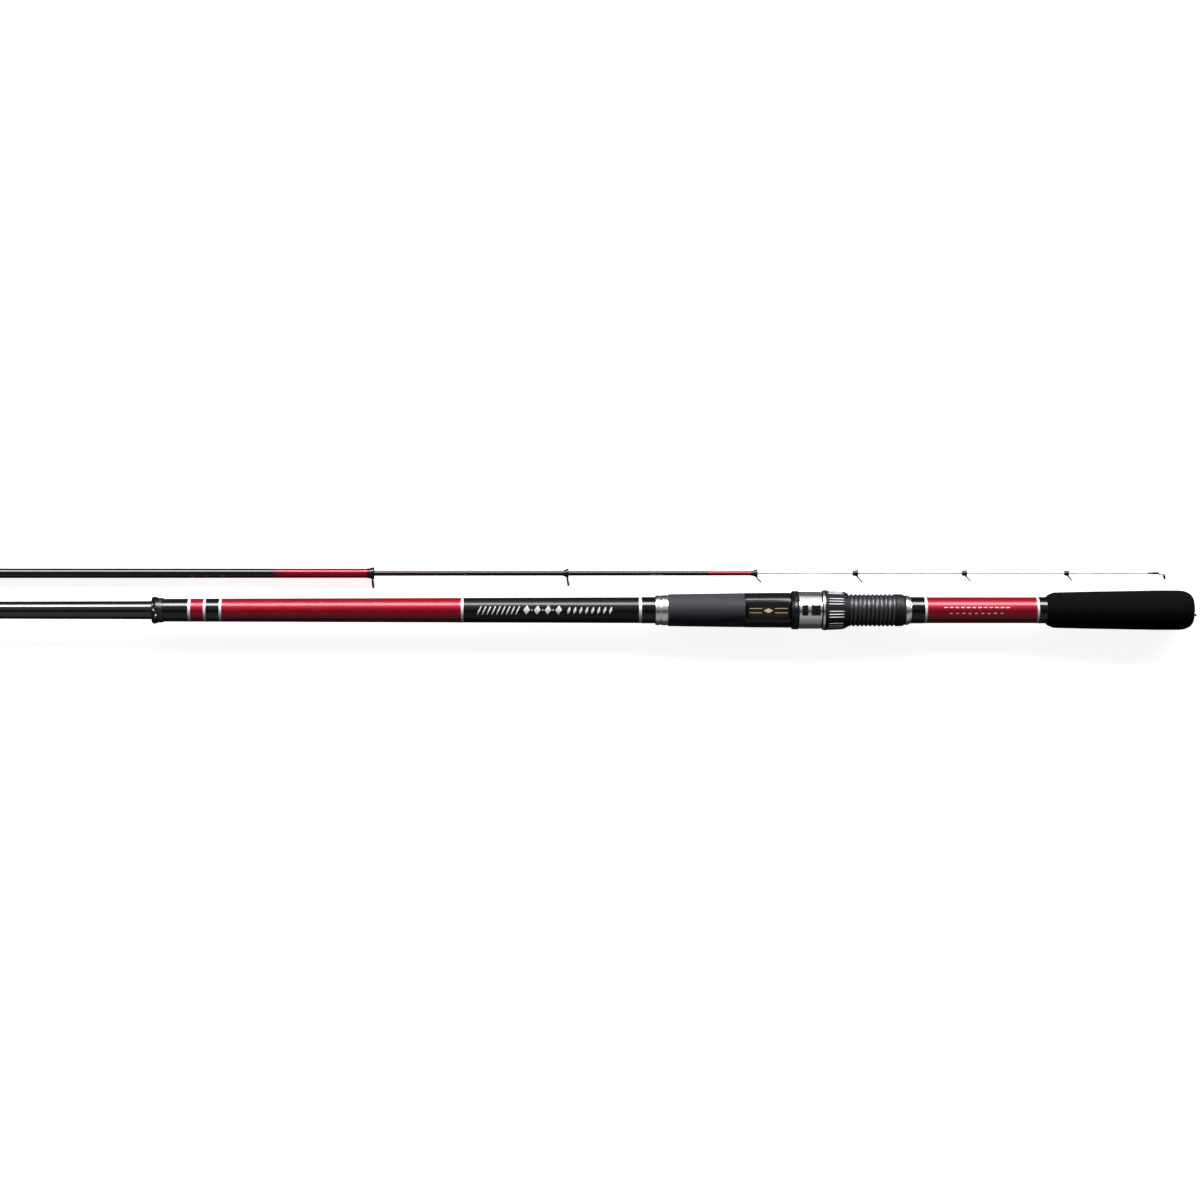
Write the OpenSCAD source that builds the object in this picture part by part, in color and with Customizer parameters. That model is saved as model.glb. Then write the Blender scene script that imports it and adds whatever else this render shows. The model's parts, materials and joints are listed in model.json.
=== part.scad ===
// Telescopic fishing rod, laid out as two lengths side by side.
// The butt length is the butt section with section 3 drawn out of it.
// The tip length is section 2 with section 1 drawn out of it, and it plugs into section 3.
// Millimetres, +Z up, both rods along X. The origin is on the floor, under the middle of the whole.

/* [Sections] */
// Butt section, from the end of the grip to its mouth
butt_len = 979; // [900:1:1100]
// Section 3 that shows when it is drawn out
section_3_out = 806; // [700:1:850]
// Section 3 that stays in the butt section
section_3_in = 68; // [55:1:75]
// Section 2 that shows in use
section_2_out = 766; // [720:1:850]
// Plug of section 2, which goes into section 3
section_2_in = 60; // [45:1:65]
// Section 1 and its tip, from the mouth of section 2 to the tip ring
section_1_out = 749; // [700:1:800]
// Section 1 that stays in section 2
section_1_in = 45; // [35:1:55]
// Distance between the axes of the two laid out lengths
lay_gap = 34.9; // [32:0.1:60]

/* [Blanks] */
// Wall of the butt section at its mouth
butt_mouth_wall = 2.02; // [1.5:0.01:2.5]
// Radius of the butt section from the reel seat back
butt_r = 12.2; // [11.2:0.1:15]
// Wall of the butt section behind its mouth
butt_wall = 1.6; // [1:0.1:2]
// Radius of section 3 in the butt section
section_3_r = 8.6; // [7.2:0.1:9.2]
// Wall of section 3 at its mouth
section_3_mouth_wall = 1.42; // [1:0.01:2]
// Radius of section 2 at its plug
section_2_r = 4.7; // [4.6:0.1:5.4]
// Wall of section 2 at its mouth
section_2_mouth_wall = 1.82; // [1.2:0.01:1.9]
// Radius of section 1 in section 2
section_1_r = 2.5; // [2.3:0.1:2.6]
// Radius of section 1 where its solid tip starts
section_1_end_r = 2.15; // [1.9:0.05:2.2]
// Radius of the solid tip where it leaves section 1
tip_root_r = 1.1; // [0.9:0.05:1.2]
// Radius of the solid tip at its end
tip_end_r = 0.5; // [0.4:0.05:0.6]
// Wall of sections 3, 2 and 1 behind their mouths
thin_wall = 1.1; // [0.8:0.1:1.2]
// Radial gap between parts that slide in each other
slide_gap = 0.08; // [0.05:0.01:0.1]

/* [Grips] */
// Length of the foam butt grip
grip_len = 138; // [120:1:160]
// Thickness of the butt grip where it is largest
grip_wall = 6.4; // [5.5:0.1:6.6]
// Thickness of the butt grip behind its front edge
grip_front_wall = 4.5; // [3.5:0.1:5.2]
// Bare blank between the butt grip and the rear check
rear_blank = 127.6; // [100:0.1:160]
// Length of the front grip
foregrip_len = 71.8; // [60:0.1:90]
// Thickness of the front grip at its front
foregrip_front_wall = 2.9; // [2.4:0.1:3.6]

/* [Reel seat] */
// Length of the threaded barrel
barrel_len = 107.5; // [100:0.1:120]
// Thickness of the barrel over its thread
barrel_wall = 3.1; // [2.7:0.1:3.2]
// Distance between the crests of the thread
thread_pitch = 4; // [3:0.5:5]
// Depth of the thread
thread_depth = 0.8; // [0.4:0.1:1]
// Length of the open bed between the two hoods
bed_len = 43.9; // [38:0.1:52]
// Thickness of the seat beside the bed
seat_wall = 4.1; // [3.8:0.1:4.6]
// Height of the flat under the reel foot, above the blank
bed_rise = 0.7; // [0.5:0.1:1]
// Height of the hoods' pockets
pocket_h = 4.7; // [4.2:0.1:5.2]
// Radius of the hoods' arched roof
pocket_r = 11; // [10:0.1:11.5]
// Thickness of the lock nut over its flange
nut_wall = 3.7; // [3.5:0.1:4.5]
// Length of the lock nut
nut_len = 22.1; // [18:0.1:26]

/* [Guides] */
// Angle between the mouth guide and the top of the reel seat
mouth_guide_turn = 7; // [0:1:20]
// Width of the ring inserts of the three large guides
insert_w = 1.8; // [1.4:0.1:2]
// Width of the ring inserts on section 1
small_insert_w = 1; // [0.8:0.1:1.4]

/* [Hidden] */
$fn = 96;

// Radii that follow from the walls, each from the piece inside it.
butt_mouth_r = section_3_r + slide_gap + butt_mouth_wall;
section_3_mouth_r = section_2_r + slide_gap + section_3_mouth_wall;
section_2_mouth_r = section_1_r + slide_gap + section_2_mouth_wall;
butt_bore_r = butt_r - butt_wall;
grip_r = butt_r + grip_wall;
grip_front_r = butt_r + grip_front_wall;
foregrip_front_r = butt_r + foregrip_front_wall;
barrel_r = butt_r + barrel_wall;
seat_r = butt_r + seat_wall;
bed_z = butt_r + bed_rise;
pocket_z = bed_z + pocket_h;
nut_r = barrel_r + nut_wall;

// A guide is [bore radius, collar length, collar radius, rim radius, ring radius, ring seat,
// ring offset ahead of the collar's front, height of the ring's centre, lean, leg radius, insert width].
BORE = 0; COLLAR_LEN = 1; COLLAR_R = 2; RIM_R = 3; RING_R = 4; SEAT = 5;
AHEAD = 6; STAND = 7; LEAN = 8; LEG_R = 9; INSERT_W = 10;
mouth_guide = [
    butt_mouth_r, 10.6, butt_mouth_r + 0.5, butt_mouth_r + 2,
    6.3, 0.8, -4.5, butt_mouth_r + 9.3, 7, 0.9, insert_w
];
section_3_guide = [
    section_3_mouth_r, 8.6, section_3_mouth_r + 0.4, section_3_mouth_r + 1.5,
    5.2, 0.7, -2.4, section_3_mouth_r + 7.2, 8, 0.7, insert_w
];
section_2_guide = [
    section_2_mouth_r, 6.6, section_2_mouth_r + 0.3, section_2_mouth_r + 1.3,
    4.1, 0.6, -1.2, section_2_mouth_r + 5.8, 8, 0.6, insert_w
];
// Sliding guides, from section 2 to the tip: distance of the collar's front from section 2's mouth.
sliding_at = [185.3, 364, 459, 562, 658.5];
collar_gap = 0.06;
function sliding_guide(i) = [
    [section_1_radius(sliding_at[0]) + collar_gap, 5.4, section_1_r + 0.4, section_1_r + 1.9,
        3.9, 0.55, -0.6, 8.2, 9, 0.5, insert_w],
    [section_1_end_r + collar_gap, 5.8, section_1_end_r + 0.35, section_1_end_r + 1.55,
        3.2, 0.45, 1.4, 6.4, 45, 0.36, small_insert_w],
    [tip_radius(sliding_at[2]) + collar_gap, 4.8, 2.5, 3.1, 3.8, 0.45, 1.9, 5.9, 45, 0.36, small_insert_w],
    [tip_radius(sliding_at[3]) + collar_gap, 4.6, 2.4, 3, 3.3, 0.4, 1.7, 5.4, 45, 0.34, small_insert_w],
    [tip_radius(sliding_at[4]) + collar_gap, 4.2, 2.2, 2.7, 3, 0.4, 1.5, 5, 45, 0.32, small_insert_w]
][i];
tip_ring_r = 2.8;
tip_ring_drop = 3.1;
tip_ring_lean = 10;
tip_tube_len = 6;
tip_tube_r = 1.05;

rear_check_len = 5.1;
front_check_len = 11.8;
spigot_len = 21;
spigot_r = butt_r + 2;

// Places along the butt length, from the end of the grip (0) towards its mouth.
x_grip_front = -grip_len;
x_seat_rear = x_grip_front - rear_blank - rear_check_len;
x_bed_rear = x_seat_rear - barrel_len;
x_bed_front = x_bed_rear - bed_len;
x_seat_front = x_bed_front - spigot_len;
x_foregrip_front = x_bed_front - foregrip_len;
x_front_check = x_foregrip_front - front_check_len;
x_mouth = -butt_len;
x_taper_end = x_front_check;

// Solid tip and section 1, from the mouth of section 2 (0) towards the tip.
tube_1_out = 363;
tip_socket = 30;
tip_end = section_1_out - 6;
function section_1_radius(x) = section_1_r + (section_1_end_r - section_1_r) * x / tube_1_out;
function tip_radius(x) = tip_root_r + (tip_end_r - tip_root_r) * (x - tube_1_out) / (tip_end - tube_1_out);
function butt_radius(x) = x > x_taper_end ? butt_r
    : butt_mouth_r + (butt_r - butt_mouth_r) * (x - x_mouth) / (x_taper_end - x_mouth);

// The lanyard ring and its two lugs, which are turned about the rod's axis.
eye_r = 0.7;
eye_x = 0.2;
eye_lug_r = 1.5;
lug_y = 3;
lug_t = 1.6;
ring_turn = -60;
ring_swing = 55;
ring_bar = 9.4;
ring_depth = 6.4;

// Where the two lengths lie. The butt length rests on its lock nut and on the mouth of section 3.
// The tip length rests on the shoulder at its plug and on the collar and the ring of its first guide.
shoulder_len = 3;
shoulder_r = section_2_guide[RIM_R];
butt_z = nut_r;
tip_z = shoulder_r;
guide_roll = asin((tip_z - section_2_guide[RING_R]) / section_2_guide[STAND]);
butt_y = (nut_r - lay_gap - shoulder_r) / 2;
tip_y = butt_y + lay_gap;
ring_reach = eye_x + ring_depth * cos(ring_swing) + eye_r;
butt_x = (butt_len + section_3_out - ring_reach) / 2;
tip_back = 23.5;
tip_x = butt_x - tip_back - section_1_out;

// Slide hood and lock nut, from the rear of the bed.
end_gap = 0.3;
hood_lip_len = 6.6;
hood_len = 29;
shell_t = 0.7;
washer_len = 2;
hood_x = x_bed_rear + end_gap;
nut_x = hood_x + hood_len + washer_len;
hood_gap = 0.12;
hood_travel = 24;
pocket_len = 13;
channel_len = end_gap + pocket_len + hood_travel + 1;
hood_r = barrel_r + 2.2;
hood_lip_r = barrel_r + 2.8;

// Butt end.
plug_r = butt_bore_r - 1.5;
plug_len = 20;
plug_neck_r = plug_r - 0.8;
plug_head_r = plug_r + 0.7;
plug_head_len = 3;
gasket_t = 1.4;
bushing_len = 26;
blank_end = -9;

silver_bands = [
    [x_mouth + 34, 2.6], [x_mouth + 48.6, 2.3], [x_mouth + 63.4, 2.3],
    [x_mouth + 290.6, 2.4], [x_front_check - 15.6, 2.7],
    [x_grip_front - rear_blank + 12.7, 2.2], [x_grip_front - 9.6, 2.1]
];
trim_t = 0.12;

module place_butt() translate([butt_x, butt_y, butt_z]) children();
module place_tip() translate([tip_x, tip_y, tip_z]) rotate([90 + guide_roll, 0, 0]) children();

// Solid of revolution about X. The outline is a list of [x, radius].
module turned(outline) rotate([0, 90, 0]) rotate_extrude()
    polygon([for (p = outline) [p[1], p[0]]]);
// Straight or tapered tube about X.
module tube(x0, x1, in0, in1, out0, out1) turned([[x0, in0], [x0, out0], [x1, out1], [x1, in1]]);
module rod(x0, x1, r) translate([x0, 0, 0]) rotate([0, 90, 0]) cylinder(h = x1 - x0, r = r);

// --- Butt section -------------------------------------------------------------------------------
mouth_bore_r = section_3_r + slide_gap;
mouth_bore_len = section_3_in + 8;

module butt_section_tube() color("#8f1620") turned([
    [x_mouth, mouth_bore_r], [x_mouth, butt_mouth_r], [x_taper_end, butt_r], [blank_end, butt_r],
    [blank_end, butt_bore_r], [x_taper_end, butt_bore_r], [x_mouth + mouth_bore_len, mouth_bore_r]
]);

module butt_section_trim() color("silver")
    for (b = silver_bands)
        tube(b[0], b[0] + b[1], butt_radius(b[0]), butt_radius(b[0] + b[1]),
            butt_radius(b[0]) + trim_t, butt_radius(b[0] + b[1]) + trim_t);

wrap_t = 0.25;
module wrap(x0, x1, r0, r1) turned([
    [x0, r0], [x0, r0 + wrap_t / 2], [x0 + 1, r0 + wrap_t],
    [x1 - 1, r1 + wrap_t], [x1, r1 + wrap_t / 2], [x1, r1]
]);
module front_wrap() color("#101012")
    wrap(x_front_check - 12.9, x_front_check, butt_radius(x_front_check - 12.9), butt_r);
module rear_wrap() color("#101012") {
    wrap(x_grip_front - rear_blank, x_grip_front - rear_blank + 12.7, butt_r, butt_r);
    wrap(x_grip_front - 7.5, x_grip_front, butt_r, butt_r);
}

// --- Guides -------------------------------------------------------------------------------------
// Both are drawn with the collar's front at the origin, the tip towards +X and the ring above.
module in_ring_plane(g) translate([g[AHEAD], 0, g[STAND]]) rotate([0, 90 + g[LEAN], 0]) children();
module leg(a, b, r) hull() {
    translate(a) sphere(r = r, $fn = 16);
    translate(b) sphere(r = r, $fn = 16);
}
// Point on the ring's seat: angle from the side that is nearest the blank.
function ring_point(g, angle) = [
    g[AHEAD] - (g[RING_R] - g[SEAT] / 2) * cos(angle) * sin(g[LEAN]),
    (g[RING_R] - g[SEAT] / 2) * sin(angle),
    g[STAND] - (g[RING_R] - g[SEAT] / 2) * cos(angle) * cos(g[LEAN])
];
leg_spread = 50;
module guide_frame(g) {
    rim = g[COLLAR_LEN] / 5;
    root = g[RIM_R] - g[LEG_R];
    turned([
        [-g[COLLAR_LEN], g[BORE]], [-g[COLLAR_LEN], g[COLLAR_R] - 0.15], [-g[COLLAR_LEN] + 0.3, g[COLLAR_R]],
        [-rim * 3.4, g[COLLAR_R]], [-rim * 1.4, g[RIM_R]], [-rim * 0.4, g[RIM_R]],
        [0, g[RIM_R] - rim * 0.4], [0, g[BORE]]
    ]);
    difference() {
        union() {
            for (side = [-1, 1])
                leg([-rim, side * root * sin(leg_spread), root * cos(leg_spread)],
                    ring_point(g, side * 75), g[LEG_R]);
            leg([-rim, 0, root], ring_point(g, 0), g[LEG_R]);
        }
        rod(-g[COLLAR_LEN], g[RING_R], g[BORE]);
        in_ring_plane(g) cylinder(h = 4 * g[RING_R], r = g[RING_R] - g[SEAT] / 2, center = true);
    }
    in_ring_plane(g) difference() {
        cylinder(h = g[INSERT_W] * 0.75, r = g[RING_R], center = true);
        cylinder(h = g[INSERT_W], r = g[RING_R] - g[SEAT], center = true);
    }
}
module ring_insert(outer, wall, w) rotate_extrude() polygon([
    [outer - wall, -w / 5], [outer - wall * 0.6, -w / 2], [outer - 0.1, -w / 2],
    [outer, -w / 2 + 0.1], [outer, w / 2 - 0.1], [outer - 0.1, w / 2],
    [outer - wall * 0.6, w / 2], [outer - wall, w / 5]
]);
module guide_ring(g) in_ring_plane(g) ring_insert(g[RING_R] - g[SEAT], g[RING_R] / 9 + 0.3, g[INSERT_W]);
// On the butt length the tip lies towards -X.
module facing_left(x) translate([x, 0, 0]) rotate([0, 0, 180]) children();

module mouth_guide_frame() color("#26272b") difference() {
    rotate([mouth_guide_turn, 0, 0]) facing_left(x_mouth) guide_frame(mouth_guide);
    tube(x_mouth - 1, x_mouth + 12, 0, 0, butt_radius(x_mouth - 1), butt_radius(x_mouth + 12));
}
module mouth_guide_ring() color("#1b1c1e")
    rotate([mouth_guide_turn, 0, 0]) facing_left(x_mouth) guide_ring(mouth_guide);

// --- Reel seat ----------------------------------------------------------------------------------
module front_check() color("#d8d9dc") turned([
    [x_front_check, butt_r], [x_front_check, butt_r + 1.5], [x_front_check + 1.4, butt_r + 1.9],
    [x_front_check + 4, butt_r + 1.9], [x_front_check + 4.6, butt_r + 1.5],
    [x_front_check + 5.4, butt_r + 1.5], [x_front_check + 6, butt_r + 2],
    [x_foregrip_front - 1, butt_r + 2.1],
    [x_foregrip_front, butt_r + 1.8], [x_foregrip_front, butt_r]
]);

foregrip_rear_r = seat_r - 0.2;
hood_wall = 1.5;
hump_len = 34;
fixed_hood_len = 15;
// Cross-sections of the hoods are drawn looking along X: Y to the right, Z up.
module across(x, len) translate([x, 0, 0]) rotate([90, 0, 90]) linear_extrude(len) children();
arch_z = pocket_z - pocket_r;
module arch(grow) intersection() {
    translate([0, arch_z]) circle(r = pocket_r + grow);
    translate([-pocket_r - grow, bed_z - grow * 2]) square([2 * (pocket_r + grow), pocket_r]);
}
module fixed_hood_outside(len) across(x_bed_front - fixed_hood_len, len) arch(hood_wall);

module foregrip() color("#3f4044") difference() {
    union() {
        turned([
            [x_foregrip_front, butt_r], [x_foregrip_front, foregrip_front_r - 0.6],
            [x_foregrip_front + 0.8, foregrip_front_r],
            [x_bed_front, foregrip_rear_r], [x_bed_front, butt_r]
        ]);
        hull() {
            translate([x_bed_front - hump_len, 0, 0]) rotate([0, 90, 0])
                cylinder(h = 1, r = foregrip_rear_r - 1, $fn = 48);
            translate([x_bed_front - fixed_hood_len - 1, 0, arch_z]) rotate([0, 90, 0])
                cylinder(h = fixed_hood_len + 1, r = pocket_r + hood_wall + 1, $fn = 48);
        }
    }
    rod(x_foregrip_front - 1, x_bed_front + 1, butt_r);
    rod(x_seat_front, x_bed_front + 1, spigot_r);
    fixed_hood_outside(fixed_hood_len + 1);
}
module fixed_hood() color("#151517") difference() {
    fixed_hood_outside(fixed_hood_len);
    rod(x_seat_front, x_bed_front + 1, spigot_r);
    across(x_bed_front - fixed_hood_len + hood_wall, fixed_hood_len) arch(0);
}

module seat_bed() color("#141416") difference() {
    union() {
        tube(x_seat_front, x_bed_front, butt_r, butt_r, spigot_r, spigot_r);
        turned([
            [x_bed_front, butt_r], [x_bed_front, seat_r - 0.4], [x_bed_front + 0.6, seat_r - 0.1],
            [x_bed_rear - 1.2, seat_r + 0.2], [x_bed_rear, seat_r - 0.8], [x_bed_rear, butt_r]
        ]);
    }
    translate([x_bed_front - fixed_hood_len + hood_wall, -seat_r - 1, bed_z])
        cube([bed_len + fixed_hood_len, 2 * seat_r + 2, pocket_r]);
}

plate_w = 16.4;
plate_top_w = 9;
plate_t = 1;
plate_corner = 3;
module plate_layer(z, len, w) translate([0, 0, z]) linear_extrude(plate_t / 4)
    for (sx = [-1, 1], sy = [-1, 1])
        translate([sx * (len / 2 - plate_corner), sy * (w / 2 - plate_corner)])
            circle(r = plate_corner, $fn = 32);
module seat_plate() color("#18181b") translate([(x_bed_front + x_bed_rear) / 2, 0, bed_z]) hull() {
    plate_layer(0, bed_len - 2, plate_w);
    plate_layer(plate_t * 3 / 4, bed_len - 6, plate_top_w);
}

thread_start = x_bed_rear + 8;
thread_end = x_seat_rear - 5.5;
thread_turns = floor((thread_end - thread_start) / thread_pitch);
thread_root_r = barrel_r - thread_depth;
module seat_barrel() color("#2f3034") difference() {
    turned(concat(
        [[x_bed_rear, butt_r], [x_bed_rear, thread_root_r]],
        [for (i = [0:thread_turns - 1], p = [[0.15, 0], [0.35, 1], [0.8, 1], [1, 0]])
            [thread_start + thread_pitch * (i + p[0]), thread_root_r + thread_depth * p[1]]],
        [[thread_end, barrel_r], [x_seat_rear - 3, barrel_r - 0.3], [x_seat_rear - 1, barrel_r - 1.2],
            [x_seat_rear, barrel_r - 2], [x_seat_rear, butt_r]]
    ));
    translate([x_bed_rear - 1, -seat_r, bed_z]) cube([channel_len + 1, 2 * seat_r, pocket_r]);
}
module rear_check() color("#d8d9dc") turned([
    [x_seat_rear, butt_r], [x_seat_rear, butt_r + 1.6], [x_seat_rear + 1, butt_r + 1.9],
    [x_seat_rear + 2.2, butt_r + 1.7], [x_seat_rear + rear_check_len - 0.5, butt_r + 0.6],
    [x_seat_rear + rear_check_len, butt_r + 0.4], [x_seat_rear + rear_check_len, butt_r]
]);

// Cross-section of the slide hood: a circle with a low hump over the reel foot.
hood_hump = 1.7;
module hood_section(r, hump) hull() {
    circle(r = r, $fn = 72);
    translate([0, arch_z]) circle(r = pocket_r + hump, $fn = 72);
}
module hood_cushion() color("#101012") difference() {
    union() {
        across(hood_x, 1.2) hood_section(hood_lip_r - 0.7, hood_hump - 0.6);
        across(hood_x + 1.2, hood_lip_len - 1.2) hood_section(hood_lip_r, hood_hump + 0.2);
        across(hood_x + hood_lip_len, hood_len - hood_lip_len)
            hood_section(hood_r - shell_t, hood_hump - shell_t);
    }
    rod(hood_x - 1, hood_x + hood_len + 1, barrel_r + hood_gap);
    across(hood_x - 1, pocket_len + 1) arch(0);
}
window_w = 10;
windows = [[2.4, 5.6], [11, 8.6]];
module hood_shell() color("#dcdde0") difference() {
    across(hood_x + hood_lip_len, hood_len - hood_lip_len - 1.4) hood_section(hood_r, hood_hump);
    across(hood_x, hood_len + 1) hood_section(hood_r - shell_t, hood_hump - shell_t);
    for (w = windows)
        translate([hood_x + hood_lip_len + w[0], -window_w / 2, pocket_z - 1]) cube([w[1], window_w, 5]);
}
module hood_washer() color("#d8d9dc")
    tube(hood_x + hood_len, nut_x, barrel_r + hood_gap, barrel_r + hood_gap, nut_r - 0.5, nut_r - 0.2);

flute_groups = 9;
flute_step = 9;
flute_turn = 12;
flute_r = 0.6;
nut_rear_r = nut_r - 1;
nut_body_len = nut_len * 0.82;
nut_slope = atan((nut_r - nut_rear_r) / nut_body_len);
module lock_nut() color("#1d1d20") difference() {
    turned([
        [nut_x, barrel_r + hood_gap], [nut_x, nut_r - 0.4], [nut_x + 0.6, nut_r], [nut_x + 1.8, nut_r],
        [nut_x + nut_body_len, nut_rear_r], [nut_x + nut_len, barrel_r + 0.6],
        [nut_x + nut_len, barrel_r + hood_gap]
    ]);
    for (g = [0:flute_groups - 1], k = [-1:1])
        rotate([flute_turn + g * 360 / flute_groups + k * flute_step, 0, 0])
            translate([nut_x + 2.2, 0, nut_r]) rotate([0, 90 + nut_slope, 0])
                cylinder(h = nut_len, r = flute_r);
}

// --- Butt end -----------------------------------------------------------------------------------
grip_round = 13;
recess_r = plug_head_r + 0.4;
module butt_grip() color("#0c0c0d") turned(concat(
    [[x_grip_front, butt_r], [x_grip_front, butt_r + 0.8], [x_grip_front + 2, butt_r + 2.4],
        [x_grip_front + 7, grip_front_r], [x_grip_front + 22, grip_front_r + 0.4],
        [x_grip_front + 44, grip_front_r + 0.9], [-34, grip_r], [-grip_round, grip_r]],
    [for (a = [15:15:75])
        [grip_round * (sin(a) - 1), recess_r + 0.4 + (grip_r - recess_r - 0.4) * cos(a)]],
    [[0, recess_r], [gasket_x, recess_r],
        [gasket_x, plug_r + slide_gap], [blank_end, plug_r + slide_gap],
        [blank_end, butt_r]]
));
module butt_bushing() color("#9a9ca0")
    tube(blank_end - bushing_len, blank_end, plug_r + slide_gap, plug_r + slide_gap,
        butt_bore_r, butt_bore_r);

head_x = -1.8;
gasket_x = head_x - plug_head_len - gasket_t;
module plug_gasket() color("#1a1a1a")
    tube(gasket_x, gasket_x + gasket_t, plug_neck_r + slide_gap, plug_neck_r + slide_gap,
        plug_head_r, plug_head_r);
module butt_plug() color("#202124") difference() {
    union() {
        turned([
            [gasket_x - plug_len, 0], [gasket_x - plug_len, plug_r - 1], [gasket_x - plug_len + 1, plug_r],
            [gasket_x - 1, plug_r], [gasket_x - 1, plug_neck_r], [gasket_x + gasket_t, plug_neck_r],
            [gasket_x + gasket_t, plug_head_r - 0.4], [gasket_x + gasket_t + 0.4, plug_head_r],
            [head_x - 0.6, plug_head_r], [head_x, plug_head_r - 0.6], [head_x, 0]
        ]);
        rotate([ring_turn, 0, 0]) for (side = [-1, 1])
            translate([head_x - 0.5, side * lug_y - lug_t / 2, -eye_lug_r])
                cube([eye_x + eye_lug_r - head_x + 0.5, lug_t, 2 * eye_lug_r]);
    }
    rod(gasket_x - plug_len - 1, gasket_x - 4, plug_r - 3);
    rotate([ring_turn, 0, 0]) translate([eye_x, 0, 0]) rotate([90, 0, 0])
        cylinder(h = ring_bar, r = eye_r + slide_gap, center = true);
}
module plug_bumper() color("#2a2a2c") rod(gasket_x - plug_len - 4, gasket_x - 4, plug_r - 3);

// Wire ring in the plug's two lugs: a D of round wire, swung down beside the end of the grip.
module lanyard_ring() color("#d5d6d9") rotate([ring_turn, 0, 0])
    translate([eye_x, 0, 0]) rotate([0, ring_swing, 0]) {
        rotate([90, 0, 0]) cylinder(h = ring_bar, r = eye_r, center = true);
        for (side = [-1, 1]) translate([0, side * ring_bar / 2, 0]) sphere(r = eye_r);
        for (side = [-1, 1]) translate([0, side * ring_bar / 2, 0]) rotate([0, 90, 0])
            cylinder(h = ring_depth - ring_bar / 2, r = eye_r);
        translate([ring_depth - ring_bar / 2, 0, 0]) rotate([0, 0, -90]) rotate_extrude(angle = 180)
            translate([ring_bar / 2, 0]) circle(r = eye_r, $fn = 32);
    }

// --- Section 3 ----------------------------------------------------------------------------------
x3_mouth = x_mouth - section_3_out;
x3_root = x_mouth + section_3_in;
socket_r = section_2_r + slide_gap;
socket_len = section_2_in + 3;
function section_3_radius(x) = section_3_mouth_r
    + (section_3_r - section_3_mouth_r) * (x - x3_mouth) / (x_mouth - x3_mouth);
module section_3_tube() color("#141417") turned([
    [x3_mouth, socket_r], [x3_mouth, section_3_mouth_r], [x_mouth, section_3_r], [x3_root, section_3_r],
    [x3_root, section_3_r - thin_wall], [x_mouth, section_3_r - thin_wall],
    [x3_mouth + socket_len, socket_r]
]);
module section_3_wrap() color("#b01c28")
    wrap(x3_mouth + 9, x3_mouth + 39, section_3_radius(x3_mouth + 9), section_3_radius(x3_mouth + 39));
module section_3_guide_frame() color("#26272b") difference() {
    facing_left(x3_mouth) guide_frame(section_3_guide);
    tube(x3_mouth - 1, x3_mouth + 12, 0, 0,
        section_3_radius(x3_mouth - 1), section_3_radius(x3_mouth + 12));
}
module section_3_guide_ring() color("#1b1c1e") facing_left(x3_mouth) guide_ring(section_3_guide);

// --- Tip length ---------------------------------------------------------------------------------
x2_root = -section_2_out - section_2_in;
bore_2_r = section_1_r + slide_gap;
function section_2_radius(x) = section_2_mouth_r + (section_2_r - section_2_mouth_r) * -x / section_2_out;
module section_2_tube() color("#141417") turned([
    [0, bore_2_r], [0, section_2_mouth_r], [-section_2_out, section_2_r], [x2_root, section_2_r],
    [x2_root, section_2_r - thin_wall], [-section_2_out, section_2_r - thin_wall],
    [-section_1_in - 8, bore_2_r]
]);
module section_2_shoulder() color("silver")
    tube(-section_2_out, -section_2_out + shoulder_len,
        section_2_radius(-section_2_out), section_2_radius(-section_2_out + shoulder_len),
        shoulder_r, shoulder_r);
module section_2_guide_frame() color("#26272b") difference() {
    translate([1.4, 0, 0]) guide_frame(section_2_guide);
    tube(-12, 3, 0, 0, section_2_radius(-12), section_2_radius(0));
}
module section_2_guide_ring() color("#1b1c1e") translate([1.4, 0, 0]) guide_ring(section_2_guide);

module section_1_tube() color("#17171a") turned([
    [-section_1_in, section_1_r], [0, section_1_r], [tube_1_out, section_1_end_r], [tube_1_out, tip_root_r],
    [tube_1_out - tip_socket, tip_root_r], [tube_1_out - tip_socket - 4, tip_root_r + 0.1],
    [0, section_1_r - thin_wall], [-section_1_in, section_1_r - thin_wall]
]);
module solid_tip() color("#f2efe6") turned([
    [tube_1_out - tip_socket, 0], [tube_1_out - tip_socket, tip_root_r], [tube_1_out, tip_root_r],
    [tip_end, tip_end_r], [tip_end, 0]
]);
module tip_whipping() color("#3a3a2a") tube(tip_end - tip_tube_len - 3.5, tip_end - tip_tube_len,
    tip_radius(tip_end - tip_tube_len - 3.5), tip_radius(tip_end - tip_tube_len), 0.75, 0.85);

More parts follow.
